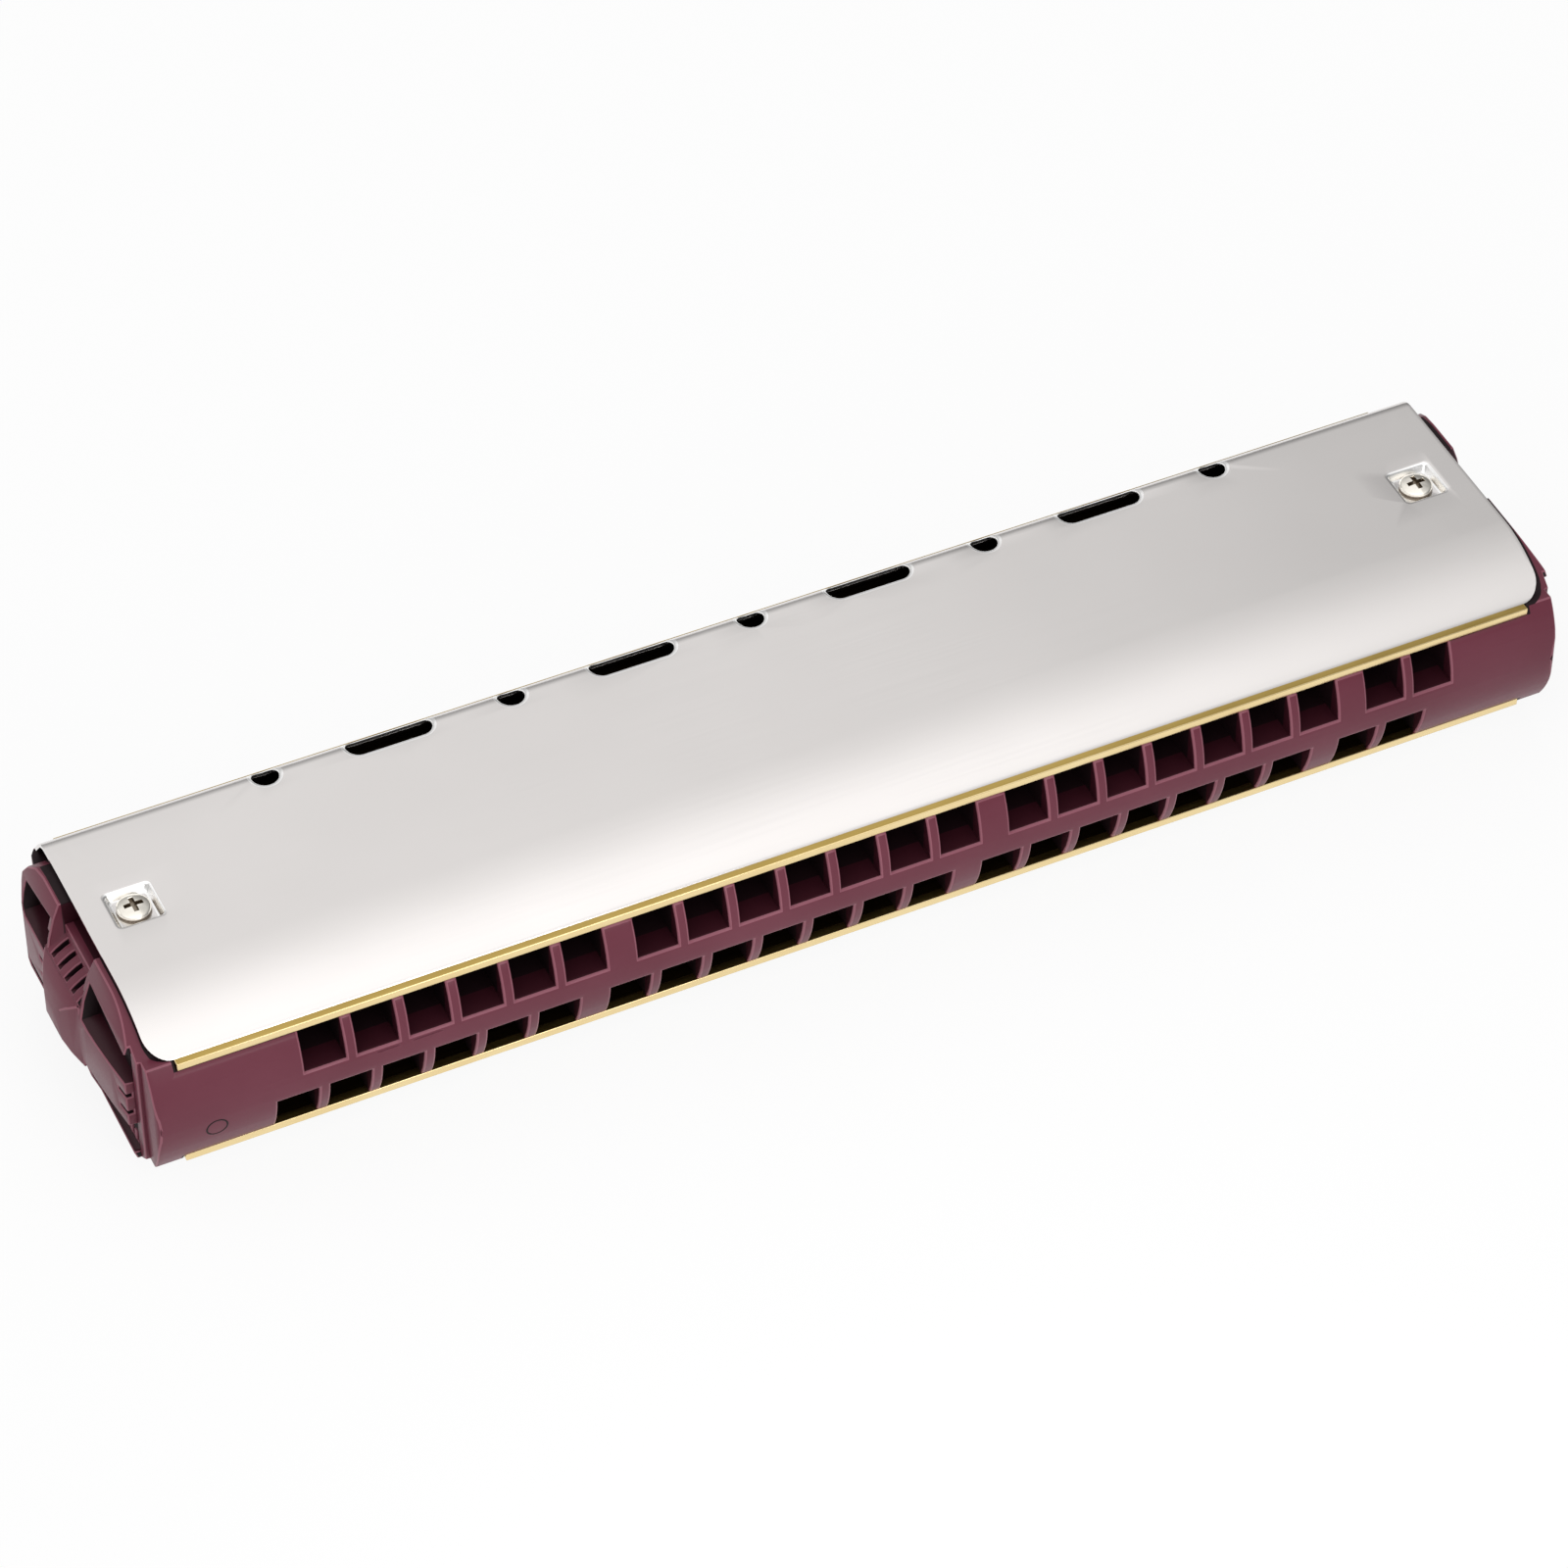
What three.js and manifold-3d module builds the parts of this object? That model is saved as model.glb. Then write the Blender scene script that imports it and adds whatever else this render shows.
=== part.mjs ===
// A two-row chromatic harmonica: a moulded comb with 44 cells, two brass reed plates with
// their reeds, and two pressed steel covers held by screws.
//
// Millimetres. X runs along the rows of holes, the mouth side faces -Y and Z is up. The origin
// is on the flat of the lower cover, below the middle of the comb.

import * as THREE from 'three';
import { mergeVertices } from 'three/addons/utils/BufferGeometryUtils.js';
import Module from 'manifold-3d';

const wasm = await Module();
wasm.setup();

// Rows of holes
const groupCounts = [6, 7, 7, 2]; // holes in each group, from the bass end
const holePitch = 7.5;
const holeWidth = 5.9;
const groupGap = 2.875; // what the bar between two groups has over a plain divider
const rowStagger = 4.06; // how far the lower row stands to the bass side of the upper one
const webThickness = 3.8; // bar between the two rows

// Comb
const combHeight = 16.2; // between the two reed plates
const bodyDepth = 45.65; // of the comb's flat faces and of the reed plates
const noseBulge = 2.0; // how far the rounded mouth face and back stand past the flat faces
const solidEnd = 16.8; // closed length past the outermost hole, at each end
const lipWidth = 4.05; // raised lip at each end, beside the reed plate
const combFrontCorner = 0.8; // rounding of the comb's corners, seen from above
const combBackCorner = 6.0;
const cellEndGap = 1.2; // room in a cell behind its reed

// End caps of the comb, which close the ends of the covers
const capFrontSetback = 2.1; // from the comb's corner to the cap
const capBackSetback = 3.6;
const capClearance = 0.45; // between the cap and the inside of a cover
const capBackCorner = 6.5; // rounding of its back edge, seen from the end
const capBackRounding = 3.6; // the same, seen from above
const bladeReach = 3.2; // how far the cap stands past the comb's end at mid height
const frontBrowReach = 0.4; // how far its top edge stands past the cover, in front of the scoop
const backBrowReach = 1.3;
const frontCrown = 1.4; // how much less it stands out at the columns than in the middle
const backCrown = 0.4;
const columnWidth = 2.3; // plain column at the front and back corners
const columnReach = 0.6;
const scoopWidth = 11.2; // hollow in the middle of the cap
const scoopOffset = 0.8; // its middle lies this far in front of the screws
const scoopSink = 1.0; // how far its floor lies inside the comb's end
const bladeThickness = 8.0; // band between the windows
const windowHeight = 6.4; // beside the scoop
const windowFall = 1.0; // how much lower a window's far edge is at the column
const windowPost = 1.1; // wall between a window and the scoop
const windowDepth = 2.4;
const toothCount = 8; // small teeth along the far edge of a window
const toothHeight = 1.7;
const toothReach = 1.1;
const toothShare = 0.5; // of the pitch of the teeth
const slitLength = 2.2; // slits at the mouth side of each lobe
const slitHeight = 0.7;
const slitSpread = 3.2;
const slitDepth = 0.9;
const bossReach = 5.1; // how far the round boss in the hollow stands past the comb's end
const bossCrown = 2.3; // how much less it stands out at its two ends
const bossRadius = 8.4;
const bossLap = 1.0; // how far it runs over the back lobe
const bossHeight = 11.5; // above and below this it is split into fins
const finCount = 5;
const finGap = 0.9;

// Reed plates
const plateThickness = 1.2;
const plateEndGap = 0.1; // to the comb's lips
const plateScrewInset = 3.5; // from the back foot of the cover to the screw line
const plateScrewSpacing = 62.0;

// Reeds
const reedWidth = 2.0;
const reedThickness = 0.3;
const longestReed = 24.0;
const shortestReed = 12.0;
const reedLift = 0.1; // from the plate to the resting reed
const reedRootGap = 0.05; // between a reed and its pad
const reedSideGap = 0.3; // on each side, in its slot
const reedFieldInset = 9.3; // from the front edge of the plate to the reeds
const padWidth = 3.2;
const padLength = 3.4;
const padThickness = 0.5;
const rivetDiameter = 1.7;
const rivetHeadHeight = 0.4;

// Covers
const sheetThickness = 0.5;
const coverRise = 4.9; // from the reed plate to the flat of the cover
const coverEndInset = 1.0; // from the comb's end
const coverFrontLedge = 1.1; // brass left bare in front of the cover
const coverBackLedge = 0.9;
const frontRadius = 17.4;
const ridgeRadius = 3.2; // bend between the flat and the back flange
const flangeAngle = THREE.MathUtils.degToRad(52);
const frontCornerRadius = 3.2;
const backCornerRadius = 1.2;
const ventPitch = 18.0; // long and round vents take turns
const ventCount = 9;
const ventWidth = 3.8;
const ventLength = 12.5;
const ventLead = 1.2; // how far a vent starts in front of the bend
const ventTilt = THREE.MathUtils.degToRad(17.6);

// Cover screws, each in a pressed square seat
const screwInset = 8.2; // from the comb's end
const screwBack = 2.3; // behind the middle of the comb
const seatSize = 6.5;
const seatDepth = 1.2;
const seatWallRun = 0.5; // how far the pressed wall leans in
const seatOffset = 0.1; // the seat's middle lies this far behind the screw
const postDiameter = 6.4;
const postClearance = 0.3; // round the post in the reed plate
const headDiameter = 4.7;
const headRecess = 0.1; // below the flat of the cover
const shankDiameter = 2.4;
const shankClearance = 0.15; // round a shank in its hole
const shankLength = 9.0;
const crossLength = 2.7;
const crossWidth = 0.7;
const crossDepth = 0.65;

// Rounded top of a screw head, as [share of its radius, share of its height]
const headShares = [[1, 0.5], [0.8, 0.85], [0.5, 1]];

// Reed plate screws
const plateHeadDiameter = 3.2;
const plateHeadHeight = 0.9;
const plateShankDiameter = 1.6;
const plateShankLength = 6.0;
const plateCrossLength = 1.8;
const plateCrossWidth = 0.45;
const plateCrossDepth = 0.5;

// Fineness of curves, and one overrun for all cuts
const noseSteps = 8;
const frontSteps = 10;
const ridgeSteps = 4;
const cornerSteps = 4;
const capSteps = 8;
const rodSides = 12;
const rivetSides = 8;
const overrun = 1.0;

// Levels and places that follow
const holeCount = groupCounts.reduce((sum, count) => sum + count, 0);
const rowSpan = (holeCount - 1) * holePitch + (groupCounts.length - 1) * groupGap + holeWidth;
const combEnd = (rowSpan + rowStagger) / 2 + solidEnd;
const combTop = combHeight / 2;
const plateTop = combTop + plateThickness;
const plateEnd = combEnd - lipWidth - plateEndGap;
const coverTop = plateTop + coverRise;
const coverEnd = combEnd - coverEndInset;
const bodyFront = -bodyDepth / 2;
const bodyBack = bodyDepth / 2;
const noseRadius = (combTop ** 2 + noseBulge ** 2) / (2 * noseBulge);
const footFront = bodyFront + coverFrontLedge;
const footBack = bodyBack - coverBackLedge;
const frontCentre = {
  y: footFront + Math.sqrt(frontRadius ** 2 - (frontRadius - coverRise) ** 2),
  z: coverTop - frontRadius,
};
const flangeDrop = coverRise - ridgeRadius * (1 - Math.cos(flangeAngle));
const ridgeCentre = {
  y: footBack - flangeDrop / Math.tan(flangeAngle) - ridgeRadius * Math.sin(flangeAngle),
  z: coverTop - ridgeRadius,
};
const capTop = coverTop - sheetThickness - capClearance;
const reedFront = bodyFront + reedFieldInset;
const screwX = combEnd - screwInset;
const capFront = bodyFront + capFrontSetback;
const capBack = bodyBack - capBackSetback;
const scoopMiddle = screwBack - scoopOffset;
const scoopFront = scoopMiddle - scoopWidth / 2;
const scoopBack = scoopMiddle + scoopWidth / 2;
const bossFront = scoopFront - finGap / 2;
const bossBack = scoopBack + bossLap;
const windowFloor = combEnd + bladeReach / 2 - windowDepth;
const seatFloor = coverTop - seatDepth;
const plateScrewY = footBack - plateScrewInset;

// Materials
const plastic = new THREE.MeshStandardMaterial({ color: 0x6e3c46, roughness: 0.42, metalness: 0 });
const brass = new THREE.MeshStandardMaterial({ color: 0xd9b66a, roughness: 0.3, metalness: 1 });
const reedBrass = new THREE.MeshStandardMaterial({ color: 0xe0c888, roughness: 0.25, metalness: 1 });
const steel = new THREE.MeshStandardMaterial({ color: 0xd7d4d4, roughness: 0.14, metalness: 1 });
const nickel = new THREE.MeshStandardMaterial({ color: 0xd9d2c4, roughness: 0.2, metalness: 1 });

/** Makes a solid for cutting and joining from a closed three.js geometry. */
function solid(geometry) {
  geometry.deleteAttribute('normal');
  geometry.deleteAttribute('uv');
  const merged = mergeVertices(geometry);
  const corners = [];
  for (let i = 0; i < merged.index.count; i += 3) {
    const [a, b, c] = [0, 1, 2].map((k) => merged.index.getX(i + k));
    if (a !== b && b !== c && c !== a) corners.push(a, b, c);
  }
  return new wasm.Manifold(new wasm.Mesh({
    numProp: 3,
    vertProperties: new Float32Array(merged.attributes.position.array),
    triVerts: new Uint32Array(corners),
  }));
}

/** Turns a solid into a named mesh. */
function meshOf(name, shape, material) {
  const data = shape.getMesh();
  const geometry = new THREE.BufferGeometry();
  geometry.setAttribute('position', new THREE.BufferAttribute(data.vertProperties, data.numProp));
  geometry.setIndex(new THREE.BufferAttribute(data.triVerts, 1));
  geometry.computeVertexNormals();
  const mesh = new THREE.Mesh(geometry, material);
  mesh.name = name;
  return mesh;
}

/** Extrudes an outline from low to high, then stands its three axes on the given world axes. */
function prism(points, low, high, across, up, along) {
  const shape = new THREE.Shape(points.map(([a, b]) => new THREE.Vector2(a, b)));
  const geometry = new THREE.ExtrudeGeometry(shape, { depth: high - low, bevelEnabled: false });
  geometry.translate(0, 0, low);
  geometry.applyMatrix4(new THREE.Matrix4().makeBasis(across, up, along));
  return solid(geometry);
}

const axisX = new THREE.Vector3(1, 0, 0);
const axisY = new THREE.Vector3(0, 1, 0);
const axisZ = new THREE.Vector3(0, 0, 1);

/** A prism along X from an outline of [y, z] points. */
const prismX = (points, x0, x1) =>
  prism(points, Math.min(x0, x1), Math.max(x0, x1), axisY, axisZ, axisX);

/** A prism along Y from an outline of [x, z] points. */
const prismY = (points, y0, y1) =>
  prism(points.map(([x, z]) => [z, x]), Math.min(y0, y1), Math.max(y0, y1), axisZ, axisX, axisY);

/** A prism along Z from an outline of [x, y] points. */
const prismZ = (points, z0, z1) =>
  prism(points, Math.min(z0, z1), Math.max(z0, z1), axisX, axisY, axisZ);

/** A box between two corners, given in either order. */
function block([x0, y0, z0], [x1, y1, z1]) {
  const geometry = new THREE.BoxGeometry(Math.abs(x1 - x0), Math.abs(y1 - y0), Math.abs(z1 - z0));
  geometry.translate((x0 + x1) / 2, (y0 + y1) / 2, (z0 + z1) / 2);
  return solid(geometry);
}

/** A round rod along Z. */
function rod(diameter, [x, y], z0, z1, sides = rodSides) {
  const radius = diameter / 2;
  const geometry = new THREE.CylinderGeometry(radius, radius, Math.abs(z1 - z0), sides);
  geometry.rotateX(Math.PI / 2);
  geometry.translate(x, y, (z0 + z1) / 2);
  return solid(geometry);
}

/** Points of an arc about a centre, with angles from +Z towards +Y. */
function arc(centre, radius, from, to, steps) {
  return Array.from({ length: steps + 1 }, (_, i) => {
    const angle = from + (to - from) * (i / steps);
    return [centre.y + radius * Math.sin(angle), centre.z + radius * Math.cos(angle)];
  });
}

/** Joins a list of solids into one. */
const joined = (shapes) => shapes.reduce((whole, next) => whole.add(next));

/** Cuts every solid of a list out of the first one. */
const cutAll = (whole, cutters) => cutters.reduce((rest, next) => rest.subtract(next), whole);

/** Middles of the holes of a row, from the bass end; side is 1 for the upper row. */
function holePlaces(side) {
  const places = [];
  let x = -rowSpan / 2 + holeWidth / 2 + side * rowStagger / 2;
  groupCounts.forEach((count) => {
    for (let i = 0; i < count; i += 1) {
      places.push(x);
      x += holePitch;
    }
    x += groupGap;
  });
  return places;
}

/** Length of the reed of hole i: the treble reeds are shorter. */
function reedLength(i) {
  return longestReed + (shortestReed - longestReed) * (i / (holeCount - 1));
}

/** Section of the comb: flat above and below, rounded at the mouth and the back. */
function noseOutline(halfHeight) {
  const core = Math.asin(combTop / noseRadius);
  const reach = Math.asin(halfHeight / noseRadius);
  const shared = Array.from({ length: noseSteps + 1 }, (_, i) => core * (2 * i / noseSteps - 1));
  const angles = reach > core ? [-reach, ...shared, reach] : shared; // so that facets line up
  const middle = bodyBack + noseBulge - noseRadius;
  const points = angles.map((a) => [middle + noseRadius * Math.cos(a), -noseRadius * Math.sin(a)]);
  return [...points, ...points.map(([y, z]) => [-y, -z])];
}

/** Line of the upper cover from the front foot to the back foot, inset from its outside. */
function coverLine(inset) {
  const front = frontRadius - inset;
  const ridge = ridgeRadius - inset;
  const start = Math.acos((plateTop - frontCentre.z) / front);
  const bend = arc(ridgeCentre, ridge, 0, flangeAngle, ridgeSteps);
  const [lastY, lastZ] = bend[bend.length - 1];
  const foot = [lastY + (lastZ - plateTop) / Math.tan(flangeAngle), plateTop];
  return [...arc(frontCentre, front, -start, 0, frontSteps), ...bend, foot];
}

/** Outline of the space between the two covers, for the end caps. */
function capOutline() {
  const upper = coverLine(sheetThickness + capClearance);
  const lower = upper.map(([y, z]) => [y, -z]).reverse();
  return [...upper, ...lower];
}

/** Outline of an end cap seen from the end: square in front, rounded at the back. */
function capBackOutline() {
  const upper = { y: capBack - capBackCorner, z: capTop - capBackCorner };
  const lower = { y: upper.y, z: -upper.z };
  return [
    [capFront, capTop],
    ...arc(upper, capBackCorner, 0, Math.PI / 2, cornerSteps),
    ...arc(lower, capBackCorner, Math.PI / 2, Math.PI, cornerSteps),
    [capFront, -capTop],
  ];
}

/** Outer surface of an end cap seen from the mouth side: an arc from the blade to the brow. */
function capFace(browReach) {
  const drop = combEnd + bladeReach - (coverEnd + browReach);
  const radius = (coverTop ** 2 + drop ** 2) / (2 * drop);
  const centre = { y: combEnd + bladeReach - radius, z: 0 };
  const reach = Math.asin(coverTop / radius);
  return arc(centre, radius, Math.PI / 2 - reach, Math.PI / 2 + reach, capSteps);
}

/** How far an end cap stands past the comb's end at a place along Y, at mid height. */
function capReach(y) {
  const half = (capBack - capFront) / 2;
  const crown = y < scoopMiddle ? frontCrown : backCrown;
  return bladeReach - crown * ((y - scoopMiddle) / half) ** 2;
}

/** Plan of an end cap: a low column in front, a shallow arc and a rounded column at the back. */
function capPlan(inner) {
  const turn = capBack - capBackRounding;
  const lobes = Array.from({ length: capSteps + 1 }, (_, i) => {
    const y = capFront + columnWidth + (turn - capFront - columnWidth) * (i / capSteps);
    return [combEnd + capReach(y), y];
  });
  const rounding = Array.from({ length: cornerSteps }, (_, i) => {
    const angle = (Math.PI / 2) * ((i + 1) / cornerSteps);
    return [combEnd + capReach(turn) * Math.cos(angle), turn + capBackRounding * Math.sin(angle)];
  });
  const column = combEnd + columnReach;
  return [[inner, capFront], [column, capFront], [column, capFront + columnWidth], ...lobes,
    ...rounding, [inner, capBack]];
}

/** Plan of the boss between the lobes: an arc that stands out further than they do. */
function bossPlan(inner) {
  const bulge = Array.from({ length: capSteps + 1 }, (_, i) => {
    const share = i / capSteps;
    const reach = bossReach - bossCrown * (2 * share - 1) ** 2;
    return [combEnd + reach, bossFront + (bossBack - bossFront) * share];
  });
  return [[inner, bossFront], ...bulge, [inner, bossBack]];
}

/** Turns an outline that starts with X to face the given end. */
const facing = (end, points) => points.map(([x, other]) => [end * x, other]);

/** One end cap without its windows: columns, lobes and the scoop between them. */
function capBody(end) {
  const inner = combEnd - lipWidth;
  const blade = combEnd + bladeReach;
  const face = (browReach, y0, y1) => prismY(facing(end,
    [...capFace(browReach), [inner, -coverTop], [inner, coverTop]]), y0, y1);
  const body = prismX(capOutline(), end * inner, end * blade)
    .intersect(prismX(capBackOutline(), end * inner, end * blade))
    .intersect(joined([face(frontBrowReach, capFront, scoopMiddle),
      face(backBrowReach, scoopMiddle, capBack)]))
    .intersect(prismZ(facing(end, capPlan(inner)), -coverTop, coverTop));
  const scoop = block([end * (combEnd - scoopSink), scoopFront, -coverTop],
    [end * (blade + overrun), scoopBack, coverTop]);
  const doorways = [1, -1].map((side) => block(
    [end * (inner - overrun), scoopFront, side * plateTop],
    [end * (combEnd + overrun), scoopBack, side * coverTop],
  ));
  return cutAll(body, [scoop, ...doorways]);
}

/** Near and far end of the windows of both lobes along Y, as [near, far] pairs. */
function windowSpans() {
  return [
    [scoopFront - windowPost, capFront + columnWidth],
    [scoopBack + windowPost, capBack - columnWidth],
  ];
}

/** Windows and slits cut into the lobes of an end cap. */
function capCuts(end) {
  const outside = end * (combEnd + bladeReach + overrun);
  const low = bladeThickness / 2;
  const high = low + windowHeight;
  const cuts = [];
  [1, -1].forEach((side) => {
    windowSpans().forEach(([near, far]) => {
      const outline = [[near, low], [near, high], [far, high - windowFall], [far, low]];
      cuts.push(prismX(outline.map(([y, z]) => [y, side * z]), end * windowFloor, outside));
    });
    [capFront + columnWidth, bossBack].forEach((start) => {
      const middle = side * slitSpread / 2;
      cuts.push(block(
        [end * (combEnd + capReach(start) - slitDepth), start, middle - slitHeight / 2],
        [outside, start + slitLength, middle + slitHeight / 2],
      ));
    });
  });
  return cuts;
}

/** Teeth along the far edge of each window of an end cap. */
function capTeeth(end) {
  const root = Math.min(toothReach, windowDepth) / 2;
  const teeth = [];
  [1, -1].forEach((side) => {
    windowSpans().forEach(([near, far]) => {
      const pitch = (far - near) / toothCount;
      for (let i = 0; i < toothCount; i += 1) {
        const y = near + pitch * (i + (1 - toothShare) / 2);
        const edge = bladeThickness / 2 + windowHeight - windowFall * ((i + 1 / 2) / toothCount);
        teeth.push(block([end * (windowFloor - root), y, side * (edge - toothHeight)],
          [end * (windowFloor + toothReach), y + pitch * toothShare, side * (edge + root)]));
      }
    });
  });
  return teeth;
}

/** The boss in the scoop of an end cap: a round bar, split into fins above and below. */
function capBoss(end) {
  const root = combEnd - scoopSink - finGap;
  const turn = Math.acos((root - combEnd - bossReach + bossRadius) / bossRadius);
  const outline = Array.from({ length: 2 * capSteps + 1 }, (_, i) => {
    const angle = turn * (i / capSteps - 1);
    return [combEnd + bossReach - bossRadius * (1 - Math.cos(angle)), bossRadius * Math.sin(angle)];
  });
  const boss = prismY(facing(end, outline), bossFront, bossBack)
    .intersect(prismZ(facing(end, bossPlan(root)), -bossRadius, bossRadius));
  const grooves = [];
  const pitch = (bossBack - scoopFront) / finCount;
  for (let i = 0; i <= finCount; i += 1) {
    const middle = scoopFront + pitch * i;
    [1, -1].forEach((side) => {
      grooves.push(block(
        [end * (combEnd - scoopSink), middle - finGap / 2, side * bossHeight / 2],
        [end * (combEnd + bossReach + overrun), middle + finGap / 2, side * bossRadius],
      ));
    });
  }
  return { boss, grooves };
}

/** The comb: core, lips, end caps and screw posts, with its cells and screw bores. */
function combSolid() {
  const plan = prismZ(roundedPlan(combEnd, bodyFront - noseBulge, bodyBack + noseBulge,
    combFrontCorner, combBackCorner), -coverTop, coverTop);
  const core = prismX(noseOutline(combTop), -combEnd, combEnd).intersect(plan);
  const lips = [1, -1].map((end) =>
    prismX(noseOutline(plateTop), end * (combEnd - lipWidth), end * combEnd).intersect(plan));
  const caps = [1, -1].map((end) => {
    const { boss, grooves } = capBoss(end);
    return cutAll(joined([cutAll(capBody(end), capCuts(end)), ...capTeeth(end), boss]), grooves);
  });
  const postTop = seatFloor - sheetThickness;
  const posts = [1, -1].map((end) => rod(postDiameter, [end * screwX, screwBack], -postTop, postTop));
  const cuts = [];
  [1, -1].forEach((side) => {
    holePlaces(side).forEach((x, i) => {
      const back = reedFront + reedLength(i) + padLength + cellEndGap;
      cuts.push(block([x - holeWidth / 2, bodyFront - noseBulge - overrun, side * webThickness / 2],
        [x + holeWidth / 2, back, side * (combTop + overrun)]));
    });
    [1, -1].forEach((end) => {
      cuts.push(rod(shankDiameter + 2 * shankClearance, [end * screwX, screwBack],
        side * (seatFloor - shankLength - shankClearance), side * (postTop + overrun)));
    });
    plateScrewPlaces().forEach((x) => {
      cuts.push(rod(plateShankDiameter + 2 * shankClearance, [x, plateScrewY],
        side * (plateTop - plateShankLength - shankClearance), side * (combTop + overrun), rivetSides));
    });
  });
  return cutAll(joined([core, ...lips, ...caps, ...posts]), cuts);
}

/** Places of the screws along the back of a reed plate. */
function plateScrewPlaces() {
  return [-plateScrewSpacing, 0, plateScrewSpacing];
}

/** Whether the reed of hole i is a blow reed, inside the cell; the others are draw reeds. */
const isBlow = (i) => i % 2 === 0;

/** One reed plate with its slots, screw holes, pads and rivets. */
function reedPlateSolid(side) {
  const plate = block([-plateEnd, bodyFront, side * combTop], [plateEnd, bodyBack, side * plateTop]);
  const through = [side * (combTop - overrun), side * (plateTop + overrun)];
  const cuts = [];
  const pads = [];
  holePlaces(side).forEach((x, i) => {
    const back = reedFront + reedLength(i);
    const half = reedWidth / 2 + reedSideGap;
    const frontGap = isBlow(i) ? reedSideGap : 0;
    const backGap = isBlow(i) ? 0 : reedSideGap;
    cuts.push(block([x - half, reedFront - frontGap, through[0]], [x + half, back + backGap, through[1]]));
    const root = isBlow(i) ? back : reedFront;
    const outward = isBlow(i) ? 1 : -1;
    const [face, other] = isBlow(i) ? [combTop, plateTop] : [plateTop, combTop];
    const lift = isBlow(i) ? -1 : 1;
    pads.push(block(
      [x - padWidth / 2, root + outward * reedRootGap, side * (face - lift * plateThickness / 2)],
      [x + padWidth / 2, root + outward * padLength, side * (face + lift * padThickness)],
    ));
    pads.push(rod(rivetDiameter, [x, root + outward * padLength / 2],
      side * (face + lift * (padThickness + rivetHeadHeight)),
      side * (other - lift * rivetHeadHeight), rivetSides));
  });
  [1, -1].forEach((end) => {
    cuts.push(rod(postDiameter + 2 * postClearance, [end * screwX, screwBack], through[0], through[1]));
  });
  plateScrewPlaces().forEach((x) => {
    const width = plateShankDiameter + 2 * shankClearance;
    cuts.push(rod(width, [x, plateScrewY], through[0], through[1], rivetSides));
  });
  return joined([cutAll(plate, cuts), ...pads]);
}

/** Tongue of the reed of hole i, from its root at the pad to its free tip. */
function reedGeometry(i, x, side) {
  const back = reedFront + reedLength(i);
  const lift = isBlow(i) ? -1 : 1;
  const face = isBlow(i) ? combTop : plateTop;
  const middle = side * (face + lift * (reedLift + reedThickness / 2));
  const geometry = new THREE.BoxGeometry(reedWidth, reedLength(i), reedThickness);
  geometry.translate(x, (reedFront + back) / 2, middle);
  return geometry;
}

/** A four-sided block that narrows from the top to the bottom of a pressed seat. */
function taperedBlock([x, y], z0, z1, width0, width1) {
  const radii = [width0, width1].map((width) => width / Math.SQRT2);
  const geometry = new THREE.CylinderGeometry(radii[1], radii[0], Math.abs(z1 - z0), 4);
  geometry.rotateY(Math.PI / 4);
  geometry.rotateX(z1 > z0 ? Math.PI / 2 : -Math.PI / 2);
  geometry.translate(x, y, (z0 + z1) / 2);
  return solid(geometry);
}

/** Cutter of a vent: a slot with round ends, or a round hole where its length is its width. */
function ventCutter(x, length, side) {
  const radius = ventWidth / 2;
  const straight = (length - ventWidth) / 2;
  const cap = (from) => Array.from({ length: rodSides / 2 + 1 }, (_, i) => {
    const angle = from + Math.PI * (i / (rodSides / 2));
    return [radius * Math.cos(angle), radius * Math.sin(angle)];
  });
  const right = cap(-Math.PI / 2).map(([a, b]) => [a + straight, b]);
  const left = cap(Math.PI / 2).map(([a, b]) => [a - straight, b]);
  const points = straight > 0 ? [...right, ...left] : [...right, ...left.slice(1, -1)];
  const shape = new THREE.Shape(points.map(([a, b]) => new THREE.Vector2(a, b)));
  const depth = 2 * ridgeRadius;
  const geometry = new THREE.ExtrudeGeometry(shape, { depth, bevelEnabled: false });
  geometry.translate(0, 0, -depth / 2);
  geometry.rotateX(-ventTilt);
  geometry.translate(x, ridgeCentre.y - ventLead + radius * Math.cos(ventTilt),
    coverTop - radius * Math.sin(ventTilt));
  if (side < 0) {
    geometry.scale(1, 1, side);
    turnFacesOver(geometry);
  }
  return solid(geometry);
}

/** Reverses the faces of a geometry that was mirrored. */
function turnFacesOver(geometry) {
  const flat = geometry.attributes.position;
  for (let i = 0; i < flat.count; i += 3) {
    const [b, c] = [i + 1, i + 2].map((k) => new THREE.Vector3().fromBufferAttribute(flat, k));
    flat.setXYZ(i + 1, c.x, c.y, c.z);
    flat.setXYZ(i + 2, b.x, b.y, b.z);
  }
}

/** Plan from end to end with rounded corners, one radius at the mouth side, one at the back. */
function roundedPlan(reach, front, back, mouthCorner, backCorner) {
  const corner = (x, y, radius, from) => Array.from({ length: cornerSteps + 1 }, (_, i) => {
    const angle = from + (Math.PI / 2) * (i / cornerSteps);
    return [x + radius * Math.cos(angle), y + radius * Math.sin(angle)];
  });
  return [
    ...corner(reach - mouthCorner, front + mouthCorner, mouthCorner, -Math.PI / 2),
    ...corner(reach - backCorner, back - backCorner, backCorner, 0),
    ...corner(backCorner - reach, back - backCorner, backCorner, Math.PI / 2),
    ...corner(mouthCorner - reach, front + mouthCorner, mouthCorner, Math.PI),
  ];
}

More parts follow.
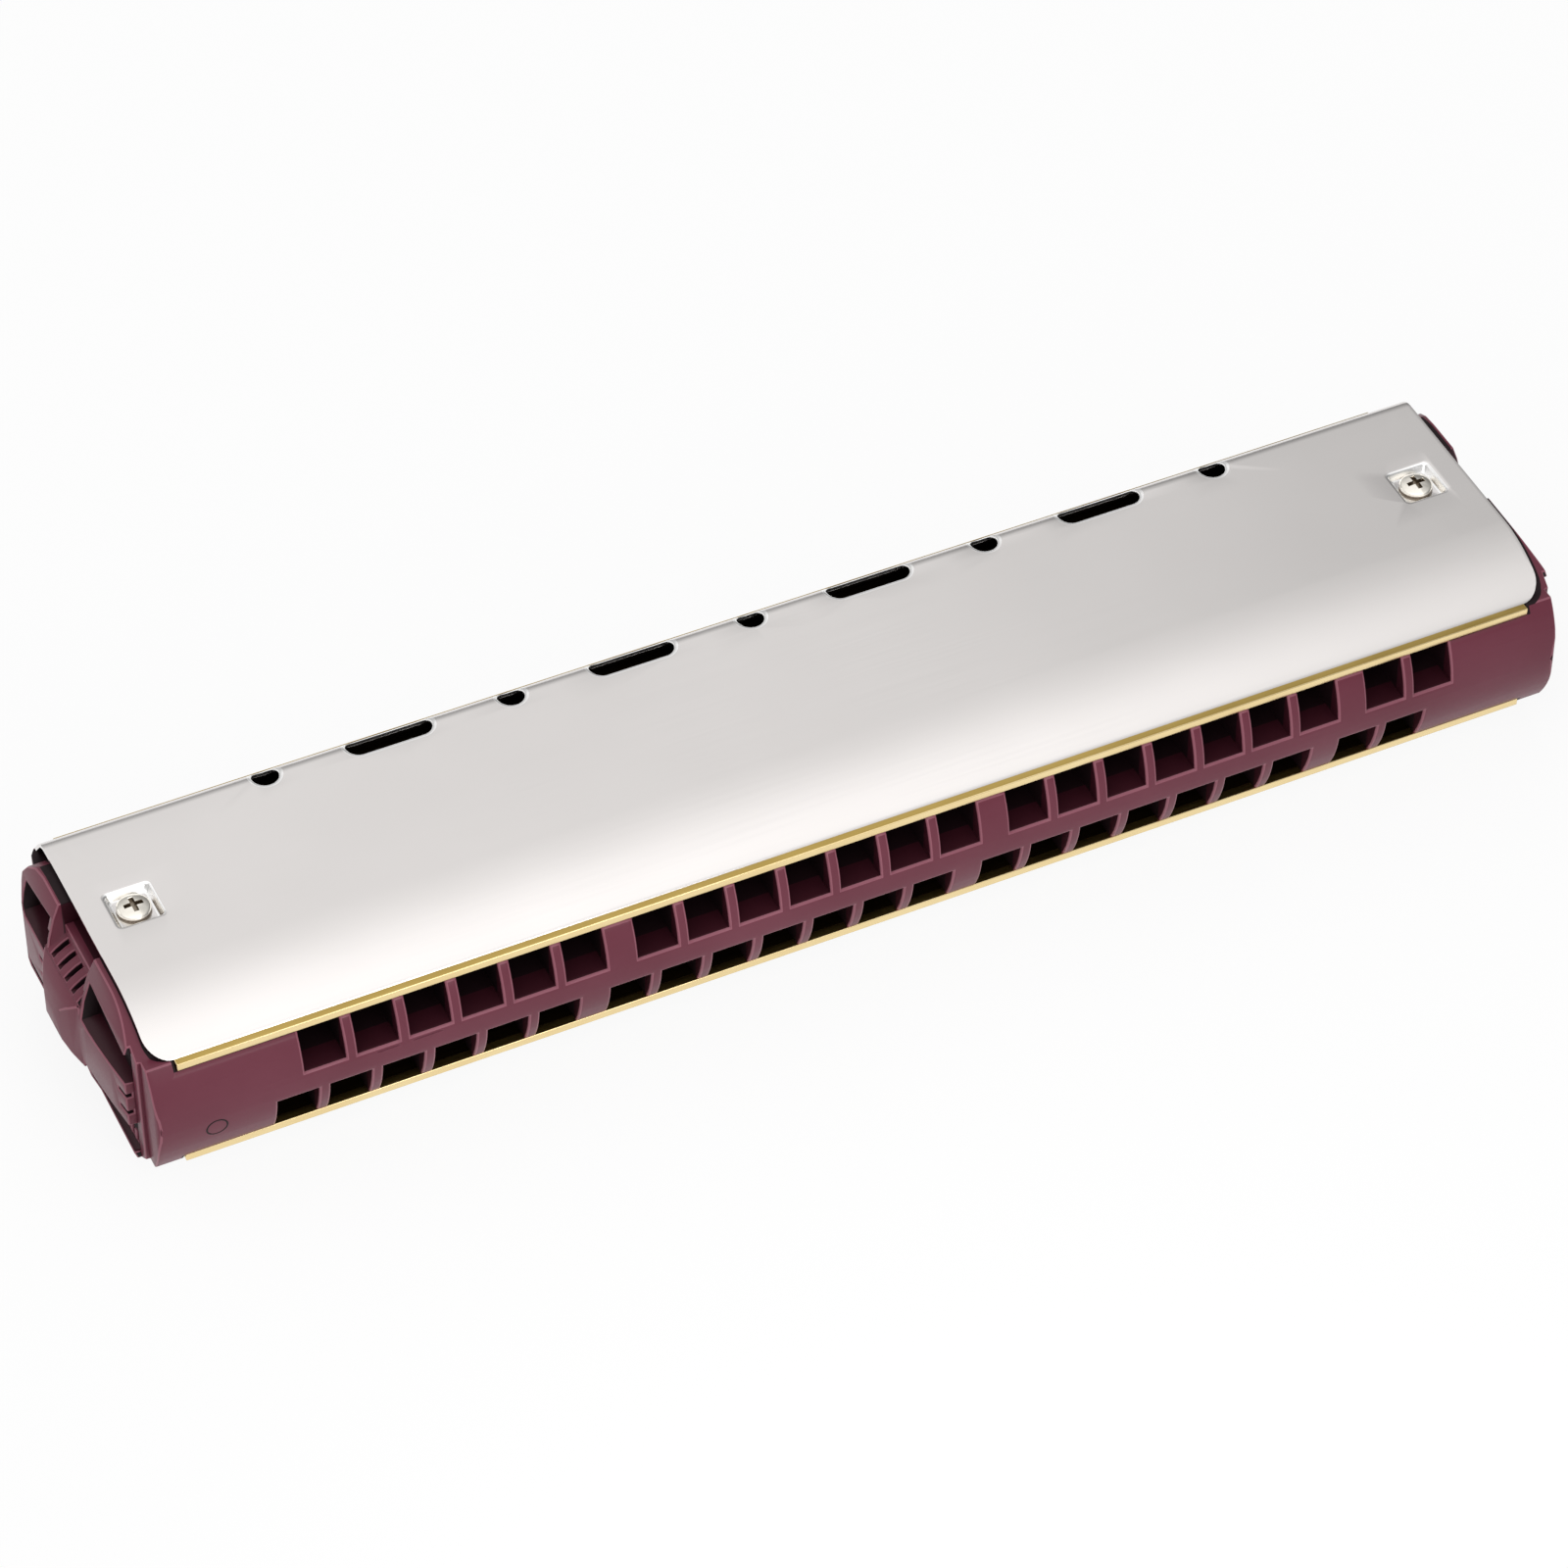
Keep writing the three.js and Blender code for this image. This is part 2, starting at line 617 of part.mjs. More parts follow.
/** A pressed cover with its seats, screw holes and vents. */
function coverSolid(side) {
  const outside = coverLine(0);
  const inside = coverLine(sheetThickness).reverse();
  const outline = [...outside, ...inside].map(([y, z]) => [y, side * z]);
  const plan = roundedPlan(coverEnd, footFront, footBack, frontCornerRadius, backCornerRadius);
  const sheet = prismX(outline, -coverEnd, coverEnd)
    .intersect(prismZ(plan, side * (combTop - overrun), side * (coverTop + overrun)));
  const floorSize = seatSize - 2 * seatWallRun;
  const lean = 2 * seatWallRun / seatDepth;
  const trays = [];
  const cuts = [];
  [1, -1].forEach((end) => {
    const middle = [end * screwX, screwBack + seatOffset];
    trays.push(taperedBlock(middle, side * (seatFloor - sheetThickness),
      side * (coverTop - sheetThickness / 2), floorSize + sheetThickness, seatSize + 2 * sheetThickness));
    cuts.push(taperedBlock(middle, side * seatFloor, side * (coverTop + overrun),
      floorSize, seatSize + lean * overrun));
    cuts.push(rod(shankDiameter + 2 * shankClearance, [end * screwX, screwBack],
      side * (seatFloor - sheetThickness - overrun), side * coverTop));
  });
  for (let i = 0; i < ventCount; i += 1) {
    const place = i - (ventCount - 1) / 2;
    cuts.push(ventCutter(place * ventPitch, place % 2 === 0 ? ventWidth : ventLength, side));
  }
  return cutAll(joined([sheet, ...trays]), cuts);
}

/** A cross-head screw standing on its seat, its head towards +Z. */
function screwSolid(head, headHeight, shank, length, cross) {
  const dome = headShares.map(([radius, height]) => [radius * head / 2, height * headHeight]);
  const profile = [[0, -length], [shank / 2, -length + shank], [shank / 2, 0], [head / 2, 0],
    ...dome, [0, headHeight]];
  const lathe = new THREE.LatheGeometry(profile.map(([r, h]) => new THREE.Vector2(r, h)), rodSides);
  lathe.rotateX(Math.PI / 2);
  const bottom = headHeight - cross.depth;
  const top = headHeight + overrun;
  const [long, narrow] = [cross.length / 2, cross.width / 2];
  return cutAll(solid(lathe), [
    block([-long, -narrow, bottom], [long, narrow, top]),
    block([-narrow, -long, bottom], [narrow, long, top]),
  ]);
}

/** Places a screw on a seat at a height, pointing into the comb from either side. */
function placedScrew(name, shape, x, y, seat, side) {
  const mesh = meshOf(name, shape, nickel);
  mesh.position.set(x, y, side * seat);
  if (side < 0) mesh.rotation.x = Math.PI;
  return mesh;
}

const harmonica = new THREE.Group();
harmonica.name = 'harmonica';
harmonica.position.z = coverTop;
harmonica.add(meshOf('comb', combSolid(), plastic));

const coverScrew = screwSolid(headDiameter, seatDepth - headRecess, shankDiameter, shankLength,
  { length: crossLength, width: crossWidth, depth: crossDepth });
const plateScrew = screwSolid(plateHeadDiameter, plateHeadHeight, plateShankDiameter,
  plateShankLength,
  { length: plateCrossLength, width: plateCrossWidth, depth: plateCrossDepth });

[['upper', 1], ['lower', -1]].forEach(([level, side]) => {
  harmonica.add(meshOf(`${level}_reed_plate`, reedPlateSolid(side), brass));
  harmonica.add(meshOf(`${level}_cover`, coverSolid(side), steel));
  [['left', -1], ['right', 1]].forEach(([hand, end]) => {
    harmonica.add(placedScrew(`${level}_cover_screw_${hand}`, coverScrew,
      end * screwX, screwBack, seatFloor, side));
  });
  plateScrewPlaces().forEach((x, i) => {
    harmonica.add(placedScrew(`${level}_plate_screw_${i + 1}`, plateScrew,
      x, plateScrewY, plateTop, side));
  });
  holePlaces(side).forEach((x, i) => {
    const reed = new THREE.Mesh(reedGeometry(i, x, side), reedBrass);
    reed.name = `${level}_reed_${String(i + 1).padStart(2, '0')}`;
    harmonica.add(reed);
  });
});

export default harmonica;
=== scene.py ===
"""Looks of a two-row chromatic harmonica: steel covers and brass reed plates on a dark red moulded comb.

Lengths in the classes are millimetres. X runs along the holes, the mouth side faces -Y and Z is up.
"""

import logging
import math
from dataclasses import dataclass, field
from enum import Enum
from typing import Callable, Iterable, Sequence

import bmesh
import bpy
from bmesh.types import BMEdge, BMesh, BMFace
from bpy.types import Material, Node, NodeSocket, NodeTree, Object
from mathutils import Matrix, Vector
from mathutils.bvhtree import BVHTree


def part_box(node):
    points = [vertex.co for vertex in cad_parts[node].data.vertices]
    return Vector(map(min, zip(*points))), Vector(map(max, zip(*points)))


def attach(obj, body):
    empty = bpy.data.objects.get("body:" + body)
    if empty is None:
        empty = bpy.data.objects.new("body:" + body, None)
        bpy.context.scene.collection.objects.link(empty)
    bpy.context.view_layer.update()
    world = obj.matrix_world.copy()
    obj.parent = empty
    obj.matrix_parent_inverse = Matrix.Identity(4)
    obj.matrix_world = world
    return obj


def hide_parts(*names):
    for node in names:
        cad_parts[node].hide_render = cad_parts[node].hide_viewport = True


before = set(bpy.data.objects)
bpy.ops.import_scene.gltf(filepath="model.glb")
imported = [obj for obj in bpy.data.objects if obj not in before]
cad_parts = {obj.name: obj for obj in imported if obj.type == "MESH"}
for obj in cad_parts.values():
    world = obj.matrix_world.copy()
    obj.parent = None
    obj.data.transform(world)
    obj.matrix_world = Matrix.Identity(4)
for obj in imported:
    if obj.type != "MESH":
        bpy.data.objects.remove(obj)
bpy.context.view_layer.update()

log = logging.getLogger("harmonica")
MM = 0.001
BODY = "harmonica_body"
WHITE = (1.0, 1.0, 1.0, 1.0)
# Edges in a small circle, and the angle beyond which an edge counts as cut and not bent.
ROUND = 24
SHARP = math.radians(60)
# Corners of a CAD node that are nearer than this, in metres, are taken as one.
WELD = 0.004 * MM
Point = tuple[float, float]
Ring = list[Sequence[float]]
# Play in millimetres when a face or an edge is looked for near a known plane.
PLAY = 0.05


class Side(Enum):
    """A side of the harmonica, with the sign of its direction."""

    @property
    def word(self) -> str:
        """Word for the side in the names of nodes."""
        return self.name.lower()


class Level(Side):
    """Upper or lower half, with the sign of its outward Z."""

    UPPER = 1
    LOWER = -1


class End(Side):
    """Bass end on the player's left or treble end on the right, with the sign of its X."""

    LEFT = -1
    RIGHT = 1


def linear(code: str) -> tuple[float, float, float, float]:
    """Turns an sRGB hex colour into the linear colour that a socket takes.

    Args:
        code: colour such as "#6E3C46".

    Returns:
        Linear red, green and blue with an alpha of 1.
    """
    parts = [int(code[i:i + 2], 16) / 255 for i in (1, 3, 5)]
    red, green, blue = (c / 12.92 if c <= 0.04045 else ((c + 0.055) / 1.055) ** 2.4 for c in parts)
    return red, green, blue, 1.0


def feed(tree: NodeTree, node: Node, inputs: dict) -> None:
    """Sets or links inputs of a node.

    Args:
        tree: the node's tree.
        node: to be fed.
        inputs: value or output socket for each input, by name or index.
    """
    for name, value in inputs.items():
        if isinstance(value, NodeSocket):
            tree.links.new(value, node.inputs[name])
        else:
            node.inputs[name].default_value = value


def add_node(tree: NodeTree, kind: str, inputs: dict | None = None, **settings) -> Node:
    """Adds a node with its settings and inputs.

    Args:
        tree: node tree to add to.
        kind: Blender's name of the node type.
        inputs: value or output socket for each input, by name or index.
        settings: the node's own properties.

    Returns:
        The new node.
    """
    node = tree.nodes.new(kind)
    for name, value in settings.items():
        setattr(node, name, value)
    feed(tree, node, inputs or {})
    return node


def new_material(name: str) -> tuple[Material, NodeTree, Node]:
    """Makes a material.

    Args:
        name: of the material.

    Returns:
        The material, its node tree and its shader.
    """
    material = bpy.data.materials.new(name)
    material.use_nodes = True
    return material, material.node_tree, material.node_tree.nodes["Principled BSDF"]


def noise(tree: NodeTree, place: NodeSocket, length: float, detail: float = 2.0) -> NodeSocket:
    """Noise on Object coordinates whose features are as long as given, in millimetres."""
    inputs = {"Vector": place, "Scale": 1 / (length * MM), "Detail": detail}
    return add_node(tree, "ShaderNodeTexNoise", inputs).outputs["Fac"]


def tone(tree: NodeTree, share: NodeSocket, dark: str, light: str) -> NodeSocket:
    """Colour between two sRGB hex colours."""
    return add_node(tree, "ShaderNodeMix", {"Factor": share, "A": linear(dark), "B": linear(light)},
                    data_type="RGBA").outputs["Result"]


def bump(tree: NodeTree, height: NodeSocket, strength: float, depth: float,
         **others: NodeSocket) -> NodeSocket:
    """Normal of a surface whose height goes this many millimetres up and down."""
    inputs = {"Height": height, "Strength": strength, "Distance": depth * MM, **others}
    return add_node(tree, "ShaderNodeBump", inputs).outputs["Normal"]


def spread(tree: NodeTree, value: NodeSocket, low: float, high: float, start: float = 0.0, stop: float = 1.0,
           blend: str = "LINEAR") -> NodeSocket:
    """Level that passes from low to high while a value passes from start to stop."""
    inputs = {"Value": value, "From Min": start, "From Max": stop, "To Min": low, "To Max": high}
    return add_node(tree, "ShaderNodeMapRange", inputs, interpolation_type=blend).outputs["Result"]


def combine(tree: NodeTree, operation: str, first: NodeSocket, second: NodeSocket | float) -> NodeSocket:
    """Result of a math node."""
    return add_node(tree, "ShaderNodeMath", {0: first, 1: second}, operation=operation).outputs["Value"]


@dataclass(frozen=True)
class MouldedPlastic:
    """Dark red ABS, injection moulded: satin, with soft highlights and a faint flow mottling."""

    name: str = "comb_moulded_abs"
    dark: str = "#602635"
    light: str = "#713746"
    roughness: float = 0.36
    gloss_play: Point = (-0.05, 0.08)
    mottle: float = 14.0
    mottle_detail: float = 3.0
    texture: float = 0.35
    texture_strength: float = 0.08
    texture_depth: float = 0.03
    ior: float = 1.54
    specular: float = 0.22

    def material(self) -> Material:
        """Makes the comb's plastic.

        Returns:
            A material on Object coordinates.
        """
        material, tree, shader = new_material(self.name)
        place = add_node(tree, "ShaderNodeTexCoord").outputs["Object"]
        tint = tone(tree, noise(tree, place, self.mottle, self.mottle_detail), self.dark, self.light)
        # The mould's spark-eroded skin is about 0.1 mm fine; drawn three times coarser so that it shows.
        skin = noise(tree, place, self.texture)
        rough = spread(tree, skin, *(self.roughness + play for play in self.gloss_play))
        grain = bump(tree, skin, self.texture_strength, self.texture_depth)
        feed(tree, shader, {"Base Color": tint, "Roughness": rough, "IOR": self.ior,
                            "Specular IOR Level": self.specular, "Normal": grain})
        return material


@dataclass(frozen=True)
class RolledMetal:
    """Rolled sheet or turned stock with fine lines along X from the mill or the polishing wheel."""

    name: str
    dark: str
    light: str
    roughness: float
    line_width: float
    line_length: float
    wave: float
    wave_depth: float
    line_strength: float = 0.05
    line_depth: float = 0.01
    gloss_play: Point = (0.75, 1.3)

    def material(self) -> Material:
        """Makes the metal.

        Returns:
            A metallic material on Object coordinates.
        """
        material, tree, shader = new_material(self.name)
        place = add_node(tree, "ShaderNodeTexCoord").outputs["Object"]
        stretch = (self.line_width / self.line_length, 1.0, 1.0)
        along = add_node(tree, "ShaderNodeMapping", {"Vector": place, "Scale": stretch})
        lines = noise(tree, along.outputs["Vector"], self.line_width)
        cloud = noise(tree, place, self.wave)
        # The sheet is not quite flat after pressing: waves of a few thousandths that soften what it mirrors.
        swell = bump(tree, cloud, 1.0, self.wave_depth)
        tint = tone(tree, cloud, self.dark, self.light)
        rough = spread(tree, lines, *(self.roughness * play for play in self.gloss_play))
        grain = bump(tree, lines, self.line_strength, self.line_depth, Normal=swell)
        feed(tree, shader, {"Metallic": 1.0, "Base Color": tint, "Roughness": rough, "Normal": grain})
        return material


# The comb's plastic in the open; darker copies as painted shade in hollows and, near-black, in the cells where
# little light comes in; and a paler copy on the rounded edges as a painted highlight.
PLASTICS = (MouldedPlastic(),
            MouldedPlastic("comb_recess_abs", "#2C0C15", "#3E1520", 0.45),
            MouldedPlastic("comb_abs_painted_cell_shade", "#120408", "#1E0910", 0.6),
            MouldedPlastic("comb_rubbed_edge_abs", "#834A58", "#935B68", 0.3))
# Polished stainless sheet: a bright mirror that the wheel's lines blur a little along X. Such lines are finer
# than 0.1 mm on all these metals and are drawn two to four times coarser, so that they show. The inside is
# never polished, and its dark grey is painted shade; the punched rims and seat walls are burnished, and their
# nearly white colour adds a painted highlight.
STEELS = (RolledMetal("cover_polished_stainless", "#DDD9D7", "#E5E1DF", 0.17, 0.4, 30.0, 30.0, 0.02),
          RolledMetal("cover_inner_stainless", "#3B3836", "#4A4644", 0.5, 0.4, 30.0, 30.0, 0.02),
          RolledMetal("cover_burnished_rim", "#F8F7F6", "#FFFEFD", 0.25, 0.4, 30.0, 30.0, 0.01))
# The plate's edges and front faces are paler brass as a painted highlight, and its flat ledges darker brass
# as painted shade. Under the cover it is painted dark brown, nearly black, as shade.
BRASSES = (RolledMetal("plate_sheared_brass", "#EBD096", "#F8E4B2", 0.25, 0.3, 12.0, 9.0, 0.004),
           RolledMetal("plate_dulled_brass", "#AE9350", "#C7AB64", 0.34, 0.3, 12.0, 9.0, 0.004),
           RolledMetal("plate_oxidised_brass", "#2E2210", "#44331A", 0.5, 0.3, 12.0, 9.0, 0.004))
# Barrel-plated nickel: warm white, with small dents that break up its highlights. The driver's recess and the
# root of the head take a darker grey as painted shade.
NICKELS = (RolledMetal("screw_nickel_plate", "#EEE8DC", "#FAF6EE", 0.14, 0.2, 0.6, 1.5, 0.004),
           RolledMetal("screw_nickel_painted_shade", "#82786A", "#A2978A", 0.3, 0.2, 0.6, 1.5, 0.004))
# Reeds are filed and scraped by hand, so they stay brighter than the plate they swing in.
SPRING_BRASS = RolledMetal("reed_spring_brass", "#B8985A", "#D3B87C", 0.26, 0.15, 4.0, 5.0, 0.002)


def add_ring(bm: BMesh, points: Iterable[Sequence[float]]) -> list[BMEdge]:
    """Adds a closed ring of edges.

    Args:
        bm: mesh to add to.
        points: corners in millimetres, in order, with a Z of zero where none is given.

    Returns:
        The ring's edges.
    """
    corners = [bm.verts.new(Vector((*point, 0.0)[:3]) * MM) for point in points]
    return [bm.edges.new((a, b)) for a, b in zip(corners, corners[1:] + corners[:1])]


def add_bands(bm: BMesh, rings: Sequence[Ring]) -> list[list[BMEdge]]:
    """Adds rings of equal count and joins each to the next with a band of faces.

    Args:
        bm: mesh to add to.
        rings: the corners of each ring in millimetres, in order.

    Returns:
        The edges of each ring.
    """
    edges = [add_ring(bm, ring) for ring in rings]
    for first, second in zip(edges, edges[1:]):
        bmesh.ops.bridge_loops(bm, edges=first + second)
    return edges


def round_corners(reach: Point, radius: float, steps: int, middle: Point = (0.0, 0.0)) -> list[Point]:
    """Corners of a rectangle with rounded corners.

    Args:
        reach: half its size along X and Y.
        radius: of its corners.
        steps: edges in each corner.
        middle: of the rectangle.

    Returns:
        Points in order, counter-clockwise.
    """
    points = []
    for quarter, (sx, sy) in enumerate(((1, -1), (1, 1), (-1, 1), (-1, -1))):
        for step in range(steps + 1):
            angle = math.radians(90 * (quarter - 1) + 90 * step / steps)
            points.append((middle[0] + sx * (reach[0] - radius) + radius * math.cos(angle),
                           middle[1] + sy * (reach[1] - radius) + radius * math.sin(angle)))
    return points


def circle(radius: float, middle: Point = (0.0, 0.0), turn: float = -90.0) -> list[Point]:
    """Points of a small circle, counter-clockwise from the given angle in degrees."""
    return [(middle[0] + radius * math.cos(math.radians(turn + 360 * i / ROUND)),
             middle[1] + radius * math.sin(math.radians(turn + 360 * i / ROUND))) for i in range(ROUND)]


def slice_at(bm: BMesh, planes: Iterable[tuple[Vector, Vector]],
             chosen: Callable[[BMFace], bool] = bool) -> None:
    """Cuts faces of a mesh at planes.

    Args:
        bm: mesh to cut.
        planes: a point, in millimetres, and a normal of each.
        chosen: tells whether a face is cut, as all are by default.
    """
    faces = [face for face in bm.faces if chosen(face)]
    geometry = faces + list(dict.fromkeys(part for face in faces for part in (*face.verts, *face.edges)))
    for place, normal in planes:
        geometry = bmesh.ops.bisect_plane(bm, geom=geometry, dist=1e-6, plane_co=place * MM,
                                          plane_no=normal)["geom"]


def slice_along(bm: BMesh, axis: int, places: Iterable[float],
                chosen: Callable[[BMFace], bool] = bool) -> None:
    """Cuts faces of a mesh at planes across an axis.

    Args:
        bm: mesh to cut.
        axis: 0 for X, 1 for Y, 2 for Z.
        places: of the planes, in millimetres.
        chosen: tells whether a face is cut, as all are by default.
    """
    normal = Vector([float(k == axis) for k in range(3)])
    slice_at(bm, [(normal * place, normal) for place in places], chosen)


def bevel(bm: BMesh, edges: list[BMEdge], radius: float, segments: int, clamp: bool = True) -> list[BMFace]:
    """Rounds edges to a radius in millimetres, or to what room there is if clamped."""
    return bmesh.ops.bevel(bm, geom=edges, offset=radius * MM, segments=segments, clamp_overlap=clamp,
                           offset_type="OFFSET", profile=0.5, affect="EDGES", material=-1)["faces"]


def drop_folds(bm: BMesh) -> None:
    """Removes what cut slivers leave: faces that lie back to back, and single ones that join no other.

    Args:
        bm: mesh to clean.
    """
    bmesh.ops.dissolve_degenerate(bm, dist=1e-7, edges=bm.edges)
    stacks: dict[frozenset, list] = {}
    for face in bm.faces:
        stacks.setdefault(frozenset(face.verts), []).append(face)
    doubled = [face for stack in stacks.values() if len(stack) > 1 for face in stack]
    bmesh.ops.delete(bm, geom=doubled, context="FACES")
    alone = [face for face in bm.faces if all(edge.is_boundary for edge in face.edges)]
    bmesh.ops.delete(bm, geom=alone, context="FACES")


def face_up(bm: BMesh) -> None:
    """Turns the faces of an open sheet the same way, towards +Z.

    Args:
        bm: mesh of the sheet.
    """
    bmesh.ops.recalc_face_normals(bm, faces=bm.faces)
    if sum(face.normal.z * face.calc_area() for face in bm.faces) < 0:
        bmesh.ops.reverse_faces(bm, faces=bm.faces)


def add_object(name: str, data: bpy.types.ID) -> Object:
    """Adds an object to the scene.

    Args:
        name: of the object.
        data: its mesh, lamp or camera.

    Returns:
        The new object.
    """
    added = bpy.data.objects.new(name, data)
    bpy.context.scene.collection.objects.link(added)
    return added


def finished(name: str, bm: BMesh, materials: Sequence[Material], nodes: Sequence[str],
             smooth: float = 35.0) -> Object:
    """Turns a bmesh into a piece that rides on the harmonica and stands for its CAD nodes.

    Args:
        name: of the piece.
        bm: its mesh, in metres and in place; it is freed.
        materials: its finishes, in the order of its faces' material numbers.
        nodes: CAD nodes that it replaces.
        smooth: edges sharper than this many degrees stay sharp.

    Returns:
        The new object.
    """
    mesh = bpy.data.meshes.new(name)
    bm.to_mesh(mesh)
    bm.free()
    mesh.polygons.foreach_set("use_smooth", [True] * len(mesh.polygons))
    mesh.set_sharp_from_angle(angle=math.radians(smooth))
    for material in materials:
        mesh.materials.append(material)
    piece = add_object(name, mesh)
    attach(piece, BODY)
    if nodes:
        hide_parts(*nodes)
    log.info("%s: %d faces", name, len(mesh.polygons))
    return piece


@dataclass
class Cover:
    """A pressed steel cover: front curve, flat, bend and back flange, with vents and two screw seats."""

    level: Level
    sheet: float = 0.5
    front_radius: float = 17.4
    ridge_radius: float = 3.2
    flange_angle: float = math.radians(52)
    front_corner: float = 3.2
    back_corner: float = 1.2
    vent_pitch: float = 18.0
    vent_count: int = 9
    vent_width: float = 3.8
    vent_length: float = 12.5
    vent_lead: float = 1.2
    vent_tilt: float = math.radians(17.6)
    vent_turn: float = -82.5
    rim_rolls: tuple[Point, ...] = ((0.6, 0.0), (0.28, 0.03), (0.14, 0.1), (0.04, 0.22), (0.0, 0.38))
    seat_size: float = 6.5
    seat_run: float = 0.5
    seat_depth: float = 1.2
    seat_shift: float = -0.25
    seat_row: float = 2.4
    seat_clearance: float = 4.2
    seat_margin: float = 1.0
    seat_rim: float = 0.06
    seat_steps: int = 5
    screw_hole: float = 2.7
    rim_radius: float = 0.19
    foot_rims: Point = (1.2, 0.8)
    end_rim: float = 0.6
    inside_tilt: float = 0.25
    corner_steps: int = 10
    end_cuts: Point = (0.45, 1.0)
    front_steps: int = 26
    flat_steps: int = 6
    bend_steps: int = 14
    long_steps: int = 14
    low: Vector = field(init=False)
    high: Vector = field(init=False)

    def __post_init__(self) -> None:
        """Takes the cover's box from its CAD node."""
        self.low, self.high = (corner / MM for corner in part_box(f"{self.level.word}_cover"))

    @property
    def rise(self) -> float:
        """Height of the cover over the reed plate."""
        return self.high.z - self.low.z

    @property
    def front_centre(self) -> float:
        """Y of the middle of the front curve."""
        return self.low.y + math.sqrt(self.front_radius ** 2 - (self.front_radius - self.rise) ** 2)

    @property
    def ridge_centre(self) -> float:
        """Y of the middle of the bend."""
        drop = self.rise - self.ridge_radius * (1 - math.cos(self.flange_angle))
        return (self.high.y - drop / math.tan(self.flange_angle)
                - self.ridge_radius * math.sin(self.flange_angle))

    def depth_at(self, y: float) -> float:
        """How far the cover's outside lies below its flat.

        Args:
            y: place across the cover, in millimetres.

        Returns:
            Depth in millimetres.
        """
        if y < self.front_centre:
            square = self.front_radius ** 2 - (y - self.front_centre) ** 2
            return self.front_radius - math.sqrt(max(square, 0.0))
        run = y - self.ridge_centre
        if run <= 0:
            return 0.0
        end = self.ridge_radius * math.sin(self.flange_angle)
        if run <= end:
            return self.ridge_radius - math.sqrt(self.ridge_radius ** 2 - run ** 2)
        bend = self.ridge_radius * (1 - math.cos(self.flange_angle))
        return bend + (run - end) * math.tan(self.flange_angle)

    def vent_ring(self, x: float, length: float, grow: float, drop: float) -> Ring:
        """Outline of a vent on the bend, seen from above.

        Args:
            x: middle of the vent.
            length: of the vent, its width for a round one.
            grow: how far the outline lies outside the vent's edge.
            drop: how far the sheet rolls inwards there.

        Returns:
            Points with the drop as a negative Z.
        """
        radius = self.vent_width / 2
        straight = (length - self.vent_width) / 2
        middle_y = self.ridge_centre - self.vent_lead + radius * math.cos(self.vent_tilt)
        middle_z = -radius * math.sin(self.vent_tilt)
        ring = []
        for a, b in circle(radius + grow, turn=self.vent_turn):
            side = math.copysign(straight, a)
            # Halves the reach again and again to find where the line down through the edge meets the sheet.
            low, high = -2.0, 2.0
            for _ in range(24):
                along = (low + high) / 2
                y = middle_y + b * math.cos(self.vent_tilt) + along * math.sin(self.vent_tilt)
                z = middle_z - b * math.sin(self.vent_tilt) + along * math.cos(self.vent_tilt)
                low, high = (along, high) if z < -self.depth_at(y) else (low, along)
            ring.append((x + a + side, y, -drop))
        return ring

    def seat_rings(self, end: End) -> list[Ring]:
        """Rings of a pressed screw seat, from the flat down to the screw's hole.

        Args:
            end: which end's seat.

        Returns:
            Rings with their depth as a negative Z; the last one is the hole.
        """
        low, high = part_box(f"{self.level.word}_cover_screw_{end.word}")
        screw = (low + high) / 2 / MM
        middle = (screw.x, screw.y + self.seat_shift)
        top, floor = self.seat_size / 2, self.seat_size / 2 - self.seat_run
        # Half the width, the corners' radius and the depth of each ring down the pressed wall.
        steps = [(top + 0.45, 0.9, 0.0), (top + 0.18, 0.8, 0.03), (top - 0.02, 0.7, 0.16),
                 (top - 0.14, 0.6, 0.4), (floor + 0.12, 0.5, self.seat_depth - 0.28),
                 (floor - 0.05, 0.45, self.seat_depth - 0.06), (floor - 0.3, 0.4, self.seat_depth)]
        rings = [[(x, y, -depth) for x, y in round_corners((half, half), radius, self.seat_steps, middle)]
                 for half, radius, depth in steps]
        hole = circle(self.screw_hole / 2, (screw.x, screw.y))
        return rings + [[(x, y, -self.seat_depth) for x, y in hole]]

    def plan(self) -> list[Point]:
        """Outline of the cover from above.

        Returns:
            Points in order, with larger corners at the mouth side.
        """
        reach = (self.high.x, (self.high.y - self.low.y) / 2)
        middle = (0.0, (self.high.y + self.low.y) / 2)
        wide, tight = (round_corners(reach, radius, self.corner_steps, middle)
                       for radius in (self.front_corner, self.back_corner))
        count = self.corner_steps + 1
        return wide[:count] + tight[count:3 * count] + wide[3 * count:]

    def strips(self) -> list[float]:
        """Places across the cover at which the sheet is cut so that it can curve.

        Returns:
            Y of each cut, in millimetres.
        """
        start = math.acos((self.front_radius - self.rise) / self.front_radius)
        front = [self.front_centre - self.front_radius * math.sin(start * (1 - i / self.front_steps))
                 for i in range(1, self.front_steps + 1)]
        flat = [self.front_centre + (self.ridge_centre - self.front_centre) * i / self.flat_steps
                for i in range(1, self.flat_steps)]
        bend = [self.ridge_centre + self.ridge_radius * math.sin(self.flange_angle * i / self.bend_steps)
                for i in range(self.bend_steps + 1)]
        return front + flat + bend

